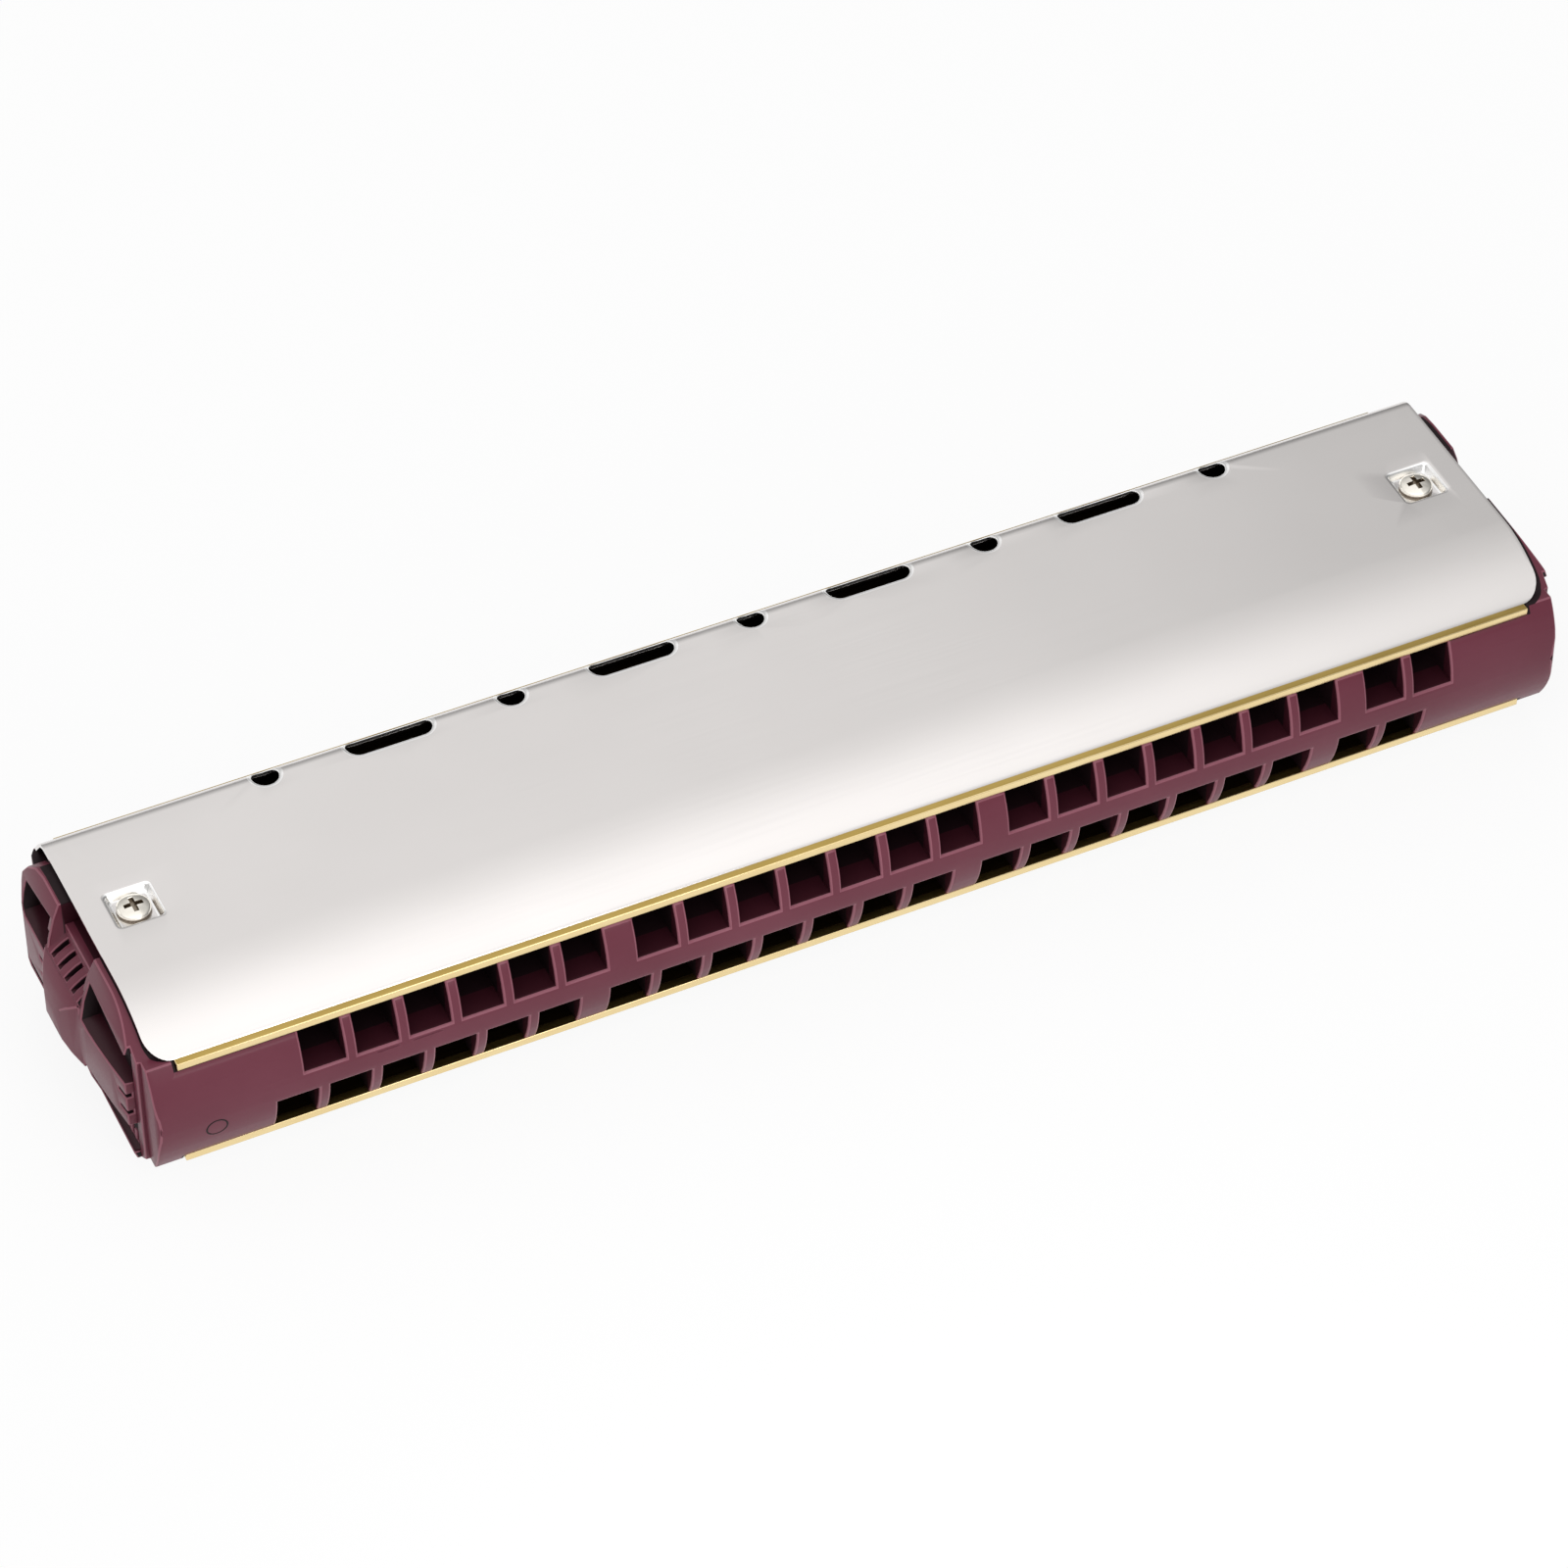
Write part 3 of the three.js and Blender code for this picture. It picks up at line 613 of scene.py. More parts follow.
    def build(self, materials: Sequence[Material]) -> Object:
        """Builds the cover.

        Args:
            materials: its finishes outside, inside with painted shade, and on the rims and seat walls with a
                painted highlight.

        Returns:
            The cover's piece.
        """
        bm = bmesh.new()
        outline = add_ring(bm, self.plan())
        holes = []
        for i in range(self.vent_count):
            place = i - self.vent_count // 2
            length = self.vent_width if place % 2 == 0 else self.vent_length
            holes += add_bands(bm, [self.vent_ring(place * self.vent_pitch, length, *roll)
                                    for roll in self.rim_rolls])[0]
        # The vents' rolled rims take the painted highlight finish.
        for face in bm.faces:
            face.material_index = 2
        for end in End:
            *walls, hole = self.seat_rings(end)
            flat = set(bm.faces)
            bands = add_bands(bm, walls)
            # Seat walls below the rim take the painted highlight finish, the rest of the seat the outside one.
            for face in set(bm.faces) - flat:
                face.material_index = 2 if face.calc_center_median().z < -self.seat_rim * MM else 0
            bmesh.ops.triangle_fill(bm, edges=bands[-1] + add_ring(bm, hole), use_beauty=True)
            holes += bands[0]
        bmesh.ops.triangle_fill(bm, edges=outline + holes, use_beauty=True)
        face_up(bm)
        slice_along(bm, 1, self.strips())
        insets = (*self.end_cuts, self.front_corner)
        ends = [sign * (self.high.x - inset) for sign in (-1, 1) for inset in insets]
        bands = range(1 - self.long_steps, self.long_steps)
        slice_along(bm, 0, [self.high.x * i / self.long_steps for i in bands] + ends)
        bmesh.ops.remove_doubles(bm, verts=bm.verts, dist=0.01 * MM)
        for corner in bm.verts:
            corner.co.z += (self.rise - self.depth_at(corner.co.y / MM)) * MM
        bm.normal_update()
        bmesh.ops.solidify(bm, geom=list(bm.faces), thickness=self.sheet * MM)
        self.soften_outline(bm)
        bm.normal_update()
        # Faces turned inwards take the dark painted shade finish.
        for face in bm.faces:
            if face.normal.z < -self.inside_tilt:
                face.material_index = 1
        lift = self.low.z if self.level is Level.UPPER else self.high.z
        bmesh.ops.transform(bm, verts=bm.verts, matrix=Matrix.Translation((0, 0, lift * MM))
                            @ Matrix.Diagonal((1, 1, self.level.value, 1)))
        bmesh.ops.recalc_face_normals(bm, faces=bm.faces)
        node = f"{self.level.word}_cover"
        return finished(f"{node}_sheet", bm, materials, [node])

    def soften_outline(self, bm: BMesh) -> None:
        """Rounds the cut edges round the outside of the sheet, as tumbling leaves them.

        Args:
            bm: mesh of the cover, with its sheet's thickness.
        """
        edges = []
        for edge in bm.edges:
            if len(edge.link_faces) == 2 and edge.calc_face_angle() > SHARP:
                middle = (edge.verts[0].co + edge.verts[1].co) / 2 / MM
                near_end = abs(middle.x) > self.high.x - self.front_corner - self.end_rim
                near_foot = (middle.y < self.low.y + self.foot_rims[0]
                             or middle.y > self.high.y - self.foot_rims[1])
                seat = (abs(middle.y - self.seat_row) < self.seat_clearance
                        and abs(middle.x) < self.high.x - self.seat_margin)
                if (near_end or near_foot) and not seat:
                    edges.append(edge)
        # The rounded cut edges take the painted highlight finish.
        for face in bevel(bm, edges, self.rim_radius, 3):
            face.material_index = 2


@dataclass
class LightMeter:
    """Tells how much of the room a place on the still parts looks out on."""

    rays: int = 24
    reach: float = 70.0
    lift: float = 0.25
    tree: BVHTree = field(init=False)

    def __post_init__(self) -> None:
        """Gathers the CAD nodes that can stand in the way of light."""
        bm = bmesh.new()
        for node in ("comb", "upper_reed_plate", "lower_reed_plate", "upper_cover", "lower_cover"):
            bm.from_mesh(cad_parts[node].data)
        self.tree = BVHTree.FromBMesh(bm)
        bm.free()

    def openness(self, place: Vector, normal: Vector) -> float:
        """Share of the half sphere over a place that looks out into the room.

        Args:
            place: on a surface, in metres.
            normal: of that surface.

        Returns:
            From 0, shut in, to 1, open.
        """
        turn = Vector((0, 0, 1)).rotation_difference(normal)
        start = place + normal * self.lift * MM
        total = free = 0.0
        for i in range(self.rays):
            height = (i + 0.5) / self.rays
            flat, angle = math.sqrt(1 - height * height), math.pi * (3 - math.sqrt(5)) * i
            way = turn @ Vector((flat * math.cos(angle), flat * math.sin(angle), height))
            total += height
            if self.tree.ray_cast(start, way, self.reach * MM)[0] is None:
                free += height
        return free / total


@dataclass
class Comb:
    """The moulded comb with its cells, lips and end caps, its sharp edges rounded."""

    edge_radius: float = 0.18
    mouth_radius: float = 0.3
    mouth_margin: float = 0.35
    mouth_facets: int = 8
    sharp: float = math.radians(32)
    end_margin: float = 13.0
    end_bands: int = 8
    cut_depths: tuple[float, ...] = (-1.2, -0.4, 0.5, 2.0, 5.0)
    recess_share: float = 0.45
    cell_share: float = 0.24
    plate_thickness: float = 1.2
    # Painted shadow line beside the covers' ends: its width left and right at the mouth side, and its width at
    # the back.
    front_gaps: Point = (0.12, 0.8)
    back_gap: float = 1.25
    gap_start: float = -0.2
    gap_overlap: float = 0.25
    gap_heights: Point = (1.6, 4.0)
    corner_cuts: int = 8
    joint_width: float = 0.5
    joint_depth: float = 1.2
    window_rows: tuple[Point, ...] = ((-18.5, -5.1), (8.1, 17.0))
    window_heights: Point = (3.9, 10.5)
    window_floor: float = 1.15
    tooth_reach: float = 1.4
    tooth_area: float = 1.6
    cell_margin: float = 8.0
    window_reach: float = 4.2
    cover: Cover = field(init=False)
    low: Vector = field(init=False)
    high: Vector = field(init=False)
    plate_low: Vector = field(init=False)
    plate_high: Vector = field(init=False)
    middle: float = field(init=False)
    half: float = field(init=False)

    def __post_init__(self) -> None:
        """Takes the comb's place from its CAD node and from its neighbours."""
        self.cover = Cover(Level.UPPER)
        self.low, self.high = (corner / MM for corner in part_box("comb"))
        self.plate_low, self.plate_high = (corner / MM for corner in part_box("upper_reed_plate"))
        self.middle = (self.low.z + self.high.z) / 2
        self.half = self.cover.low.z - self.plate_thickness - self.middle

    @property
    def mouth_curve(self) -> float:
        """Radius of the rounded mouth face."""
        bulge = self.plate_low.y - self.low.y
        return (self.half ** 2 + bulge ** 2) / (2 * bulge)

    def mouth_depth(self, z: float) -> float:
        """How far the mouth face lies behind its foremost line at a height, in millimetres."""
        return self.mouth_curve - math.sqrt(self.mouth_curve ** 2 - (z - self.middle) ** 2)

    def swell(self, z: float) -> float:
        """How far the true curve of the mouth face stands out from the CAD node's facets.

        Args:
            z: height, in millimetres.

        Returns:
            Distance in millimetres.
        """
        step = 2 * math.asin(self.half / self.mouth_curve) / self.mouth_facets
        turn = math.asin((z - self.middle) / self.mouth_curve) / step
        facet = math.floor(turn)
        first, last = (self.middle + self.mouth_curve * math.sin(step * k) for k in (facet, facet + 1))
        share = (z - first) / (last - first)
        flat = self.mouth_depth(first) * (1 - share) + self.mouth_depth(last) * share
        return flat - self.mouth_depth(z)

    def build(self, materials: Sequence[Material]) -> Object:
        """Builds the comb from a merged copy of its node.

        Args:
            materials: its finishes in the open, with painted shade in recesses and in the cells, and with a
                painted highlight on the edges.

        Returns:
            The comb's piece.
        """
        bm = merged_copy("comb")
        rims = self.round_edges(bm)
        self.round_mouth(bm, rims)
        slice_along(bm, 0, [sign * (self.cover.high.x + reach) for sign, front in zip((-1, 1), self.front_gaps)
                            for reach in (self.gap_start, front, self.back_gap)])
        slice_along(bm, 1, [self.plate_low.y + depth for depth in self.cut_depths])
        self.cut_corners(bm)
        drop_folds(bm)
        bm.normal_update()
        # Faces that look out on little of the room take darker finishes as painted shade.
        meter = LightMeter()
        for face in bm.faces:
            face.material_index = self.finish_of(face, meter)
        return finished("comb_moulding", bm, materials, ["comb"], smooth=40.0)

    def cut_corners(self, bm: BMesh) -> None:
        """Cuts the comb's faces along the edge of the shadow round the covers' front corners.

        Args:
            bm: mesh of the comb.
        """
        bm.normal_update()
        radius = self.cover.front_corner
        for side, gap in zip((-1, 1), self.front_gaps):
            centre = Vector((side * (self.cover.high.x - radius), self.cover.low.y + radius, 0))
            turns = [math.radians(90 * i / self.corner_cuts) for i in range(self.corner_cuts + 1)]
            normals = [Vector((side * math.cos(turn), -math.sin(turn), 0)) for turn in turns]
            planes = [(centre + normal * (radius + gap), normal) for normal in normals]
            planes.append((Vector((side * (self.plate_high.x + self.joint_width), 0, 0)), Vector((1, 0, 0))))
            slice_at(bm, planes, lambda face: self.at_corner(face.calc_center_median() / MM)
                     and face.calc_center_median().x * side > 0 and abs(face.normal.z) > 0.4)

    def at_corner(self, place: Vector) -> bool:
        """Whether a place, in millimetres, is above the plates' seat at one of the front corners."""
        return (abs(place.z - self.middle) > self.half and abs(place.x) > self.plate_high.x
                and place.y < self.cover.low.y + self.cover.front_corner + 0.1)

    def gap_at(self, place: Vector) -> float:
        """Width of the painted shadow line beside the cover's end at a place, both in millimetres."""
        return self.back_gap if place.y > 0 else self.front_gaps[place.x > 0]

    def beyond_corner(self, place: Vector) -> float:
        """How far a place lies outside the cover's outline round a front corner.

        Args:
            place: in millimetres.

        Returns:
            Distance in millimetres, negative inside.
        """
        radius = self.cover.front_corner
        across, along = abs(place.x) - self.cover.high.x + radius, self.cover.low.y + radius - place.y
        return (math.hypot(across, along) if min(across, along) > 0 else max(across, along)) - radius

    def finish_of(self, face: BMFace, meter: LightMeter) -> int:
        """Chooses the finish of a face.

        Args:
            face: of the comb.
            meter: for the room's light.

        Returns:
            0 in the open, 1 painted shade in a recess, 2 deeper painted shade in a cell and 3 a painted
            highlight on an edge.
        """
        centre = face.calc_center_median() / MM
        beyond = abs(centre.x) - self.cover.high.x
        height = abs(centre.z - self.middle)
        # The end caps' windows: painted shade on their floors and walls, and a painted highlight on the
        # teeth's tips.
        in_row = any(start < centre.y < stop for start, stop in self.window_rows)
        bottom, top = self.window_heights
        if in_row and bottom < height < top and 0 < beyond < self.window_reach:
            if abs(face.normal.x) > 0.5 and beyond < self.window_floor:
                return 2
            if beyond < self.tooth_reach and face.calc_area() < self.tooth_area * MM ** 2:
                return 3
            if abs(face.normal.x) < 0.5 and not face.material_index:
                return 1 if abs(face.normal.z) > 0.5 else 2
        # Painted shade in the joints between plates and lips, and a painted shadow line round the covers'
        # front corners.
        if self.at_corner(centre):
            at_plate = abs(centre.x) < self.plate_high.x + self.joint_width
            if at_plate and centre.y < self.cover.low.y + self.joint_depth:
                return 2
            if abs(face.normal.z) > 0.7 and self.beyond_corner(centre) < self.gap_at(centre):
                return 2
        # The shadow line along the end of the cover, wider over the back half.
        elif (self.cover.low.y < centre.y < self.cover.high.y
              and -self.gap_overlap < beyond < self.gap_at(centre)):
            crown = self.cover.high.z - self.middle - self.cover.depth_at(centre.y)
            if height > crown - self.gap_heights[centre.y >= self.cover.ridge_centre]:
                return 2
        # Rounded edges take the painted highlight finish.
        if face.material_index:
            return 3
        if abs(centre.y) > self.plate_high.y - PLAY and math.copysign(1, centre.y) * face.normal.y > 0.5:
            return 0
        # Painted shade by openness: faces that see little of the room take the recess or cell finish.
        share = meter.openness(face.calc_center_median(), face.normal)
        in_cells = beyond < -self.cell_margin and height < self.half - PLAY
        return 2 if share < self.cell_share else int(share < self.recess_share or in_cells)

    def round_mouth(self, bm: BMesh, rims: Iterable[float]) -> None:
        """Turns the facets of the mouth face and the back into a true curve.

        Args:
            bm: mesh of the comb.
            rims: X of the mouth holes' sides, in millimetres.
        """
        step = math.asin(self.half / self.mouth_curve) / self.mouth_facets
        turns = range(1 - self.mouth_facets, self.mouth_facets, 2)
        levels = [self.middle + self.mouth_curve * math.sin(step * i) for i in turns]
        reach = self.mouth_radius + self.mouth_margin
        bands = {round(x + side * reach, 2) for x in rims for side in (-1, 1)}
        first, last = max(bands), self.cover.high.x - self.mouth_radius
        bands |= {side * (first + (last - first) * i / self.end_bands) for i in range(1, self.end_bands + 1)
                  for side in (-1, 1)}
        bm.normal_update()
        for axis, places in ((2, levels), (0, sorted(bands))):
            slice_along(bm, axis, places, lambda face: abs(face.normal.y) > 0.5
                        and abs(face.calc_center_median().y) > -self.plate_low.y * MM)
        for vert in bm.verts:
            place = vert.co / MM
            if abs(place.y) > 0.02 - self.plate_low.y and abs(place.z - self.middle) < self.half:
                vert.co.y += math.copysign(self.swell(place.z), place.y) * MM

    def round_edges(self, bm: BMesh) -> set[float]:
        """Rounds the edges that can be seen: more round the mouth holes, less elsewhere.

        Args:
            bm: mesh of the comb.

        Returns:
            X of the mouth holes' sides, in millimetres.
        """
        holes, others, sides = [], [], set()
        for edge in bm.edges:
            if len(edge.link_faces) != 2 or edge.calc_face_angle(0.0) < self.sharp or not edge.is_convex:
                continue
            first, last = (vert.co / MM for vert in edge.verts)
            across, back = max(abs(first.x), abs(last.x)), max(first.y, last.y)
            if back < self.plate_low.y + PLAY and across < self.high.x - self.end_margin:
                holes.append(edge)
                if abs(first.x - last.x) < 0.01:
                    sides.add(round(first.x, 2))
            elif across > self.plate_high.x or back > self.plate_high.y - PLAY:
                others.append(edge)
        for edges, radius, segments in ((holes, self.mouth_radius, 3), (others, self.edge_radius, 2)):
            for face in bevel(bm, [edge for edge in edges if edge.is_valid], radius, segments, False):
                # The rounded faces take the painted highlight finish.
                face.material_index = 3
        return sides


@dataclass
class MouldMark:
    """A plain low ring that the mould leaves on the mouth face near the bass end."""

    place: Point = (-96.6, 11.4)
    radius: float = 1.45
    wire: float = 0.35
    proud: float = 0.05
    wire_sides: int = 8
    ring_sides: int = 28

    def build(self, material: Material) -> Object:
        """Builds the ring on the rounded mouth face.

        Args:
            material: its finish.

        Returns:
            The ring's piece.
        """
        comb = Comb()
        bm = bmesh.new()
        upright = Matrix.Rotation(math.pi / 2, 4, "X")
        bmesh.ops.create_circle(bm, segments=self.wire_sides, radius=self.wire * MM,
                                matrix=Matrix.Translation((self.radius * MM, 0, 0)) @ upright)
        bmesh.ops.spin(bm, geom=list(bm.verts) + list(bm.edges), cent=(0, 0, 0), axis=(0, 0, 1),
                       steps=self.ring_sides, angle=math.tau, use_merge=True)
        bmesh.ops.recalc_face_normals(bm, faces=bm.faces)
        centre = Vector((self.place[0], comb.low.y + self.wire - self.proud, self.place[1]))
        bmesh.ops.transform(bm, verts=bm.verts, matrix=Matrix.Translation(centre * MM) @ upright)
        for vert in bm.verts:
            vert.co.y += comb.mouth_depth(vert.co.z / MM) * MM
        return finished("comb_mould_ring", bm, [material], [])


def merged_copy(node: str) -> BMesh:
    """Copies a CAD node's mesh, with its loose triangles joined and its flat faces made whole.

    Args:
        node: name of the CAD node.

    Returns:
        A new bmesh in place.
    """
    bm = bmesh.new()
    bm.from_mesh(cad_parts[node].data)
    bmesh.ops.remove_doubles(bm, verts=bm.verts, dist=WELD)
    bmesh.ops.dissolve_degenerate(bm, dist=WELD, edges=bm.edges)
    bmesh.ops.dissolve_limit(bm, angle_limit=math.radians(0.6), verts=bm.verts, edges=bm.edges)
    return bm


@dataclass
class ReedPlate:
    """A brass reed plate with its slots, pads and rivets."""

    level: Level
    edge_radius: float = 0.12
    front_ledge: float = 1.35
    back_ledge: float = 1.1

    def build(self, materials: Sequence[Material]) -> Object:
        """Builds the plate from a merged copy of its node, its long edges rounded.

        Args:
            materials: its finishes on the edges with a painted highlight, on the bare ledges with painted
                shade, and under the cover with darker painted shade.

        Returns:
            The plate's piece.
        """
        node = f"{self.level.word}_reed_plate"
        bm = merged_copy(node)
        low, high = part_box(node)
        edges = [e for e in bm.edges if len(e.link_faces) == 2 and e.calc_face_angle(0.0) > SHARP
                 and any(all(abs(v.co[axis] - side[axis]) < 0.01 * MM for v in e.verts)
                         for axis in (0, 1) for side in (low, high))]
        bevel(bm, edges, self.edge_radius, 2)
        front, back = low.y + self.front_ledge * MM, high.y - self.back_ledge * MM
        slice_along(bm, 1, [front / MM, back / MM])
        bm.normal_update()
        for face in bm.faces:
            # Paler brass on edges, darker on flat ledges and near-black under the cover: painted highlight and
            # shade.
            inside = front < face.calc_center_median().y < back
            face.material_index = 2 if inside else int(abs(face.normal.z) > 0.95)
        return finished(f"{node}_sheet", bm, materials, [node])


@dataclass
class CrossScrew:
    """A cover's pan-head screw with a cross recess, standing on its seat."""

    node: str
    level: Level
    head: float = 4.7
    head_height: float = 1.1
    dome_drop: float = 0.42
    dome_power: float = 3.2
    shank: float = 2.4
    cross: float = 2.7
    cross_width: float = 0.7
    cross_depth: float = 0.65
    cross_drop: float = 0.07
    # How much the cross narrows below its edge and at its floor.
    cross_shrinks: Point = (0.04, 0.16)
    # Rings of the head, as shares of its radius over the dome and of its height down the side.
    crown: Point = (0.86, 0.95)
    side: tuple[float, ...] = (0.5, 0.28, 0.08)

    def dome(self, radius: float) -> float:
        """Height of the head's top at a distance from its axis."""
        share = min(radius / (self.head / 2), 1.0)
        return self.head_height * (1 - self.dome_drop * share ** self.dome_power)

    def cross_ring(self, shrink: float, z: float | None) -> Ring:
        """Outline of the cross recess.

        Args:
            shrink: how much smaller it is on every side.
            z: its height, or None where it lies on the dome.

        Returns:
            Twenty points in order.
        """
        long, narrow = self.cross / 2 - shrink, self.cross_width / 2 - shrink * 0.6
        middle = (long + narrow) / 2
        quarter = [(narrow, -long), (narrow, -middle), (narrow, -narrow), (middle, -narrow), (long, -narrow)]
        ring = []
        for turn in range(4):
            cosine, sine = round(math.cos(turn * math.pi / 2)), round(math.sin(turn * math.pi / 2))
            ring += [(x * cosine - y * sine, x * sine + y * cosine) for x, y in quarter]
        return [(x, y, self.dome(math.hypot(x, y)) if z is None else z) for x, y in ring]

    def build(self, materials: Sequence[Material]) -> Object:
        """Builds the screw in place of its node.

        Args:
            materials: its finishes in the open, and with painted shade in the recess and at the head's root.

        Returns:
            The screw's piece.
        """
        low, high = (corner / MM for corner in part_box(self.node))
        upper = self.level is Level.UPPER
        seat = high.z - self.head_height if upper else low.z + self.head_height
        length = high.z - low.z - self.head_height
        bm = bmesh.new()
        crown = [self.head / 2 * share for share in self.crown]
        rings = [[(x, y, self.dome(radius)) for x, y in circle(radius)] for radius in crown]
        side = [(self.head / 2, self.head_height * h) for h in self.side]
        side += [(self.head / 2 * 0.96, 0.0), (self.shank / 2 * 1.05, 0.0), (self.shank / 2, -0.2),
                 (self.shank / 2, -length + self.shank), (self.shank * 0.12, -length)]
        rings += [[(x, y, z) for x, y in circle(radius)] for radius, z in side]
        outer = add_bands(bm, rings)
        bmesh.ops.contextual_create(bm, geom=outer[-1])
        rim, floor = self.cross_shrinks
        recess = add_bands(bm, [self.cross_ring(0.0, None), self.cross_ring(rim, None),
                                self.cross_ring(floor, self.head_height - self.cross_depth)])
        for corner in {v for e in recess[1] for v in e.verts}:
            corner.co.z -= self.cross_drop * MM
        bmesh.ops.triangle_fill(bm, edges=recess[-1], use_beauty=True)
        bmesh.ops.triangle_fill(bm, edges=recess[0] + outer[0], use_beauty=True)
        bmesh.ops.recalc_face_normals(bm, faces=bm.faces)
        # Painted shade: the cross recess and the root of the head take the darker nickel.
        for face in bm.faces:
            place = face.calc_center_median() / MM
            across = math.hypot(place.x, place.y)
            sunk = across < self.cross / 2 + 0.1 and 0 < place.z < self.dome(across) - 0.06
            root = across > self.shank / 2 + 0.2 and place.z < self.head_height * 0.3
            face.material_index = int(sunk or root)
        middle = (low + high) / 2
        turn = Matrix.Identity(4) if upper else Matrix.Rotation(math.pi, 4, "X")
        bmesh.ops.transform(bm, verts=bm.verts,
                            matrix=Matrix.Translation(Vector((middle.x, middle.y, seat)) * MM) @ turn)
        return finished(f"{self.node}_turned", bm, materials, [self.node], smooth=30.0)


@dataclass
class PlateScrew(CrossScrew):
    """The smaller screw that holds a reed plate."""

    head: float = 3.2
    head_height: float = 0.9
    shank: float = 1.6
    cross: float = 1.8
    cross_width: float = 0.45
    cross_depth: float = 0.5


@dataclass
class Harmonica:
    """The whole instrument, built from its finishes and sub-assemblies."""

    plate_screws: int = 3

    def build(self) -> None:
        """Builds every piece and dresses the CAD nodes that stay."""
        plastics, steels, brasses, nickels = ([finish.material() for finish in group]
                                              for group in (PLASTICS, STEELS, BRASSES, NICKELS))
        spring = SPRING_BRASS.material()
        Comb().build(plastics)
        # The ring takes the cells' near-black painted shade finish.
        MouldMark().build(plastics[2])
        for level in Level:
            Cover(level).build(steels)
            ReedPlate(level).build(brasses)
            for end in End:
                CrossScrew(f"{level.word}_cover_screw_{end.word}", level).build(nickels)
            for place in range(1, self.plate_screws + 1):
                PlateScrew(f"{level.word}_plate_screw_{place}", level).build(nickels)
        for name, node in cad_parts.items():
            if "_reed_" in name and not name.endswith("plate"):
                node.data.materials.clear()
                node.data.materials.append(spring)
        log.info("reeds dressed")


@dataclass(frozen=True)
class Softbox:
    """A rectangular soft lamp aimed at the harmonica, in metres and watts."""

    name: str
    place: tuple[float, float, float]
    size: Point
    power: float

    def build(self) -> None:
        """Adds the lamp to the scene."""
        light = bpy.data.lights.new(self.name, "AREA")
        light.shape = "RECTANGLE"
        light.size, light.size_y = self.size
        light.energy = self.power
        lamp = add_object(self.name, light)
        lamp.location = self.place
        lamp.rotation_euler = (-Vector(self.place)).to_track_quat("-Z", "Y").to_euler()


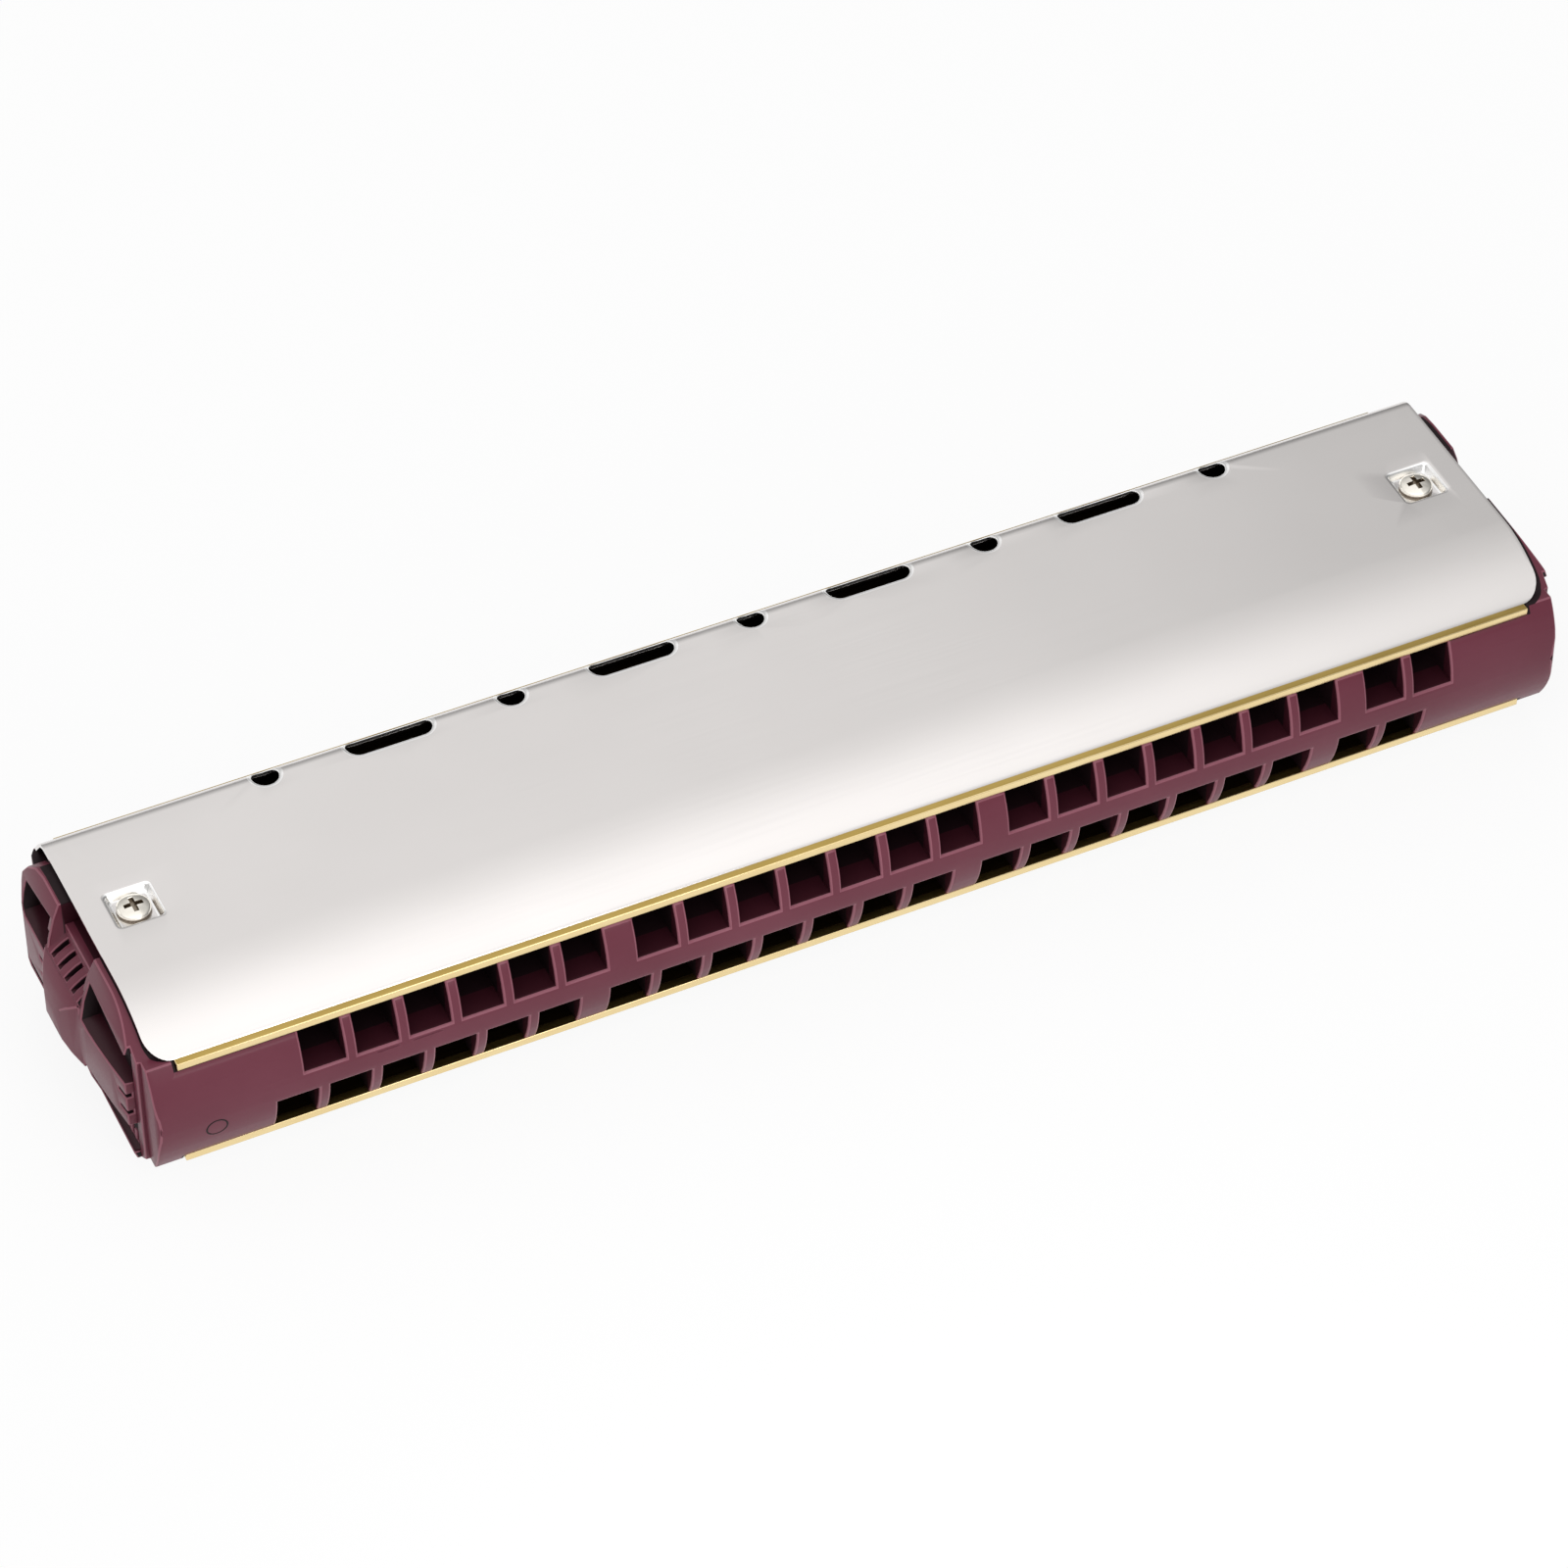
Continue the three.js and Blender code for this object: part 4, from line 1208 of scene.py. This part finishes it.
@dataclass
class Studio:
    """Pale floor, soft lamps, plain world and the camera at the photograph's angle."""

    softboxes: tuple[Softbox, ...] = (Softbox("front_softbox", (-0.04, -0.2, 0.1), (0.14, 0.06), 0.1),
                                      Softbox("left_softbox", (-0.75, 0.55, 0.35), (0.5, 0.4), 0.35))
    floor_tone: str = "#F4F4F4"
    floor_roughness: float = 0.9
    floor_glow: float = 0.88
    floor_reach: float = 3.0
    floor_gap: float = 0.1
    sky: tuple[Point, ...] = ((0.0, 0.52), (0.12, 0.4), (0.3, 0.48), (0.52, 0.74), (0.72, 0.97), (1.0, 1.03))
    sides: tuple[Point, ...] = ((0.31, 1.0), (0.45, 0.66), (0.8, 0.44))
    front_light: float = 0.42
    front_light_low: float = 0.1
    front_span: Point = (0.6, -0.7)
    front_rise: Point = (0.35, 0.7)
    camera_place: tuple[float, float, float] = (-0.2613, -0.5461, 0.6153)
    camera_turn: tuple[float, float, float] = (45.07, 0.0, -25.31)
    lens: float = 142.3

    def build(self) -> None:
        """Sets the floor, the lamps, the world and the camera."""
        self.floor()
        self.world()
        for softbox in self.softboxes:
            softbox.build()
        self.camera()
        bpy.context.scene.view_settings.view_transform = "Standard"

    def floor(self) -> None:
        """Makes a wide pale floor that the camera sees as white and that keeps the harmonica's shadow."""
        bm = bmesh.new()
        bmesh.ops.create_grid(bm, x_segments=1, y_segments=1, size=self.floor_reach,
                              matrix=Matrix.Translation((0, 0, -self.floor_gap * MM)))
        mesh = bpy.data.meshes.new("floor")
        bm.to_mesh(mesh)
        bm.free()
        # Matt white paper: no gloss, only the soft shadow of what stands on it.
        material, tree, shader = new_material("floor_white_paper")
        feed(tree, shader, {"Base Color": linear(self.floor_tone), "Roughness": self.floor_roughness})
        rays = add_node(tree, "ShaderNodeLightPath").outputs
        glow = add_node(tree, "ShaderNodeEmission", {"Color": WHITE, "Strength": 1.0})
        seen = combine(tree, "MAXIMUM", rays["Is Camera Ray"],
                       combine(tree, "MAXIMUM", rays["Is Glossy Ray"], rays["Is Transmission Ray"]))
        share = combine(tree, "MULTIPLY", seen, self.floor_glow)
        both = {"Fac": share, 1: shader.outputs["BSDF"], 2: glow.outputs["Emission"]}
        mix = add_node(tree, "ShaderNodeMixShader", both)
        feed(tree, tree.nodes["Material Output"], {"Surface": mix.outputs["Shader"]})
        mesh.materials.append(material)
        add_object("floor", mesh)

    def world(self) -> None:
        """Makes a plain studio: light from above and in front, greyer low down behind."""
        world = bpy.data.worlds.new("studio")
        bpy.context.scene.world = world
        world.use_nodes = True
        tree = world.node_tree
        way = add_node(tree, "ShaderNodeTexCoord").outputs["Generated"]
        parts = add_node(tree, "ShaderNodeSeparateXYZ", {"Vector": way}).outputs
        front = spread(tree, parts["Y"], 0.0, self.front_light, *self.front_span, "SMOOTHSTEP")
        high = spread(tree, parts["Z"], self.front_light_low, 1.0, *self.front_rise)
        lifted = combine(tree, "MULTIPLY", front, high)
        bright = combine(tree, "ADD", self.ramp(tree, parts["Z"], self.sky), lifted)
        total = combine(tree, "MULTIPLY", bright, self.ramp(tree, parts["X"], self.sides, "EASE"))
        feed(tree, tree.nodes["Background"], {"Color": WHITE, "Strength": total})

    def ramp(self, tree: NodeTree, value: NodeSocket, stops: Sequence[Point],
             blend: str = "LINEAR") -> NodeSocket:
        """Adds a ramp of greys to the world.

        Args:
            tree: the world's node tree.
            value: what the ramp reads.
            stops: a place and a level for each of its stops.
            blend: how it passes from stop to stop.

        Returns:
            The ramp's output.
        """
        node = add_node(tree, "ShaderNodeValToRGB", {"Fac": value})
        node.color_ramp.interpolation = blend
        while len(node.color_ramp.elements) < len(stops):
            node.color_ramp.elements.new(0.5)
        for element, (place, level) in zip(node.color_ramp.elements, stops):
            element.position = place
            element.color = (level, level, level, 1.0)
        return node.outputs["Color"]

    def camera(self) -> None:
        """Sets the camera that was fitted to the photograph."""
        view = bpy.data.cameras.new("camera")
        view.lens = self.lens
        view.sensor_width = 36.0
        view.clip_start = 0.01
        camera = add_object("camera", view)
        camera.location = self.camera_place
        camera.rotation_euler = tuple(math.radians(angle) for angle in self.camera_turn)
        bpy.context.scene.camera = camera


def main() -> None:
    """Builds the harmonica and its studio."""
    logging.basicConfig(level=logging.INFO, format="%(name)s: %(message)s")
    Harmonica().build()
    Studio().build()


if __name__ == "__main__":
    main()
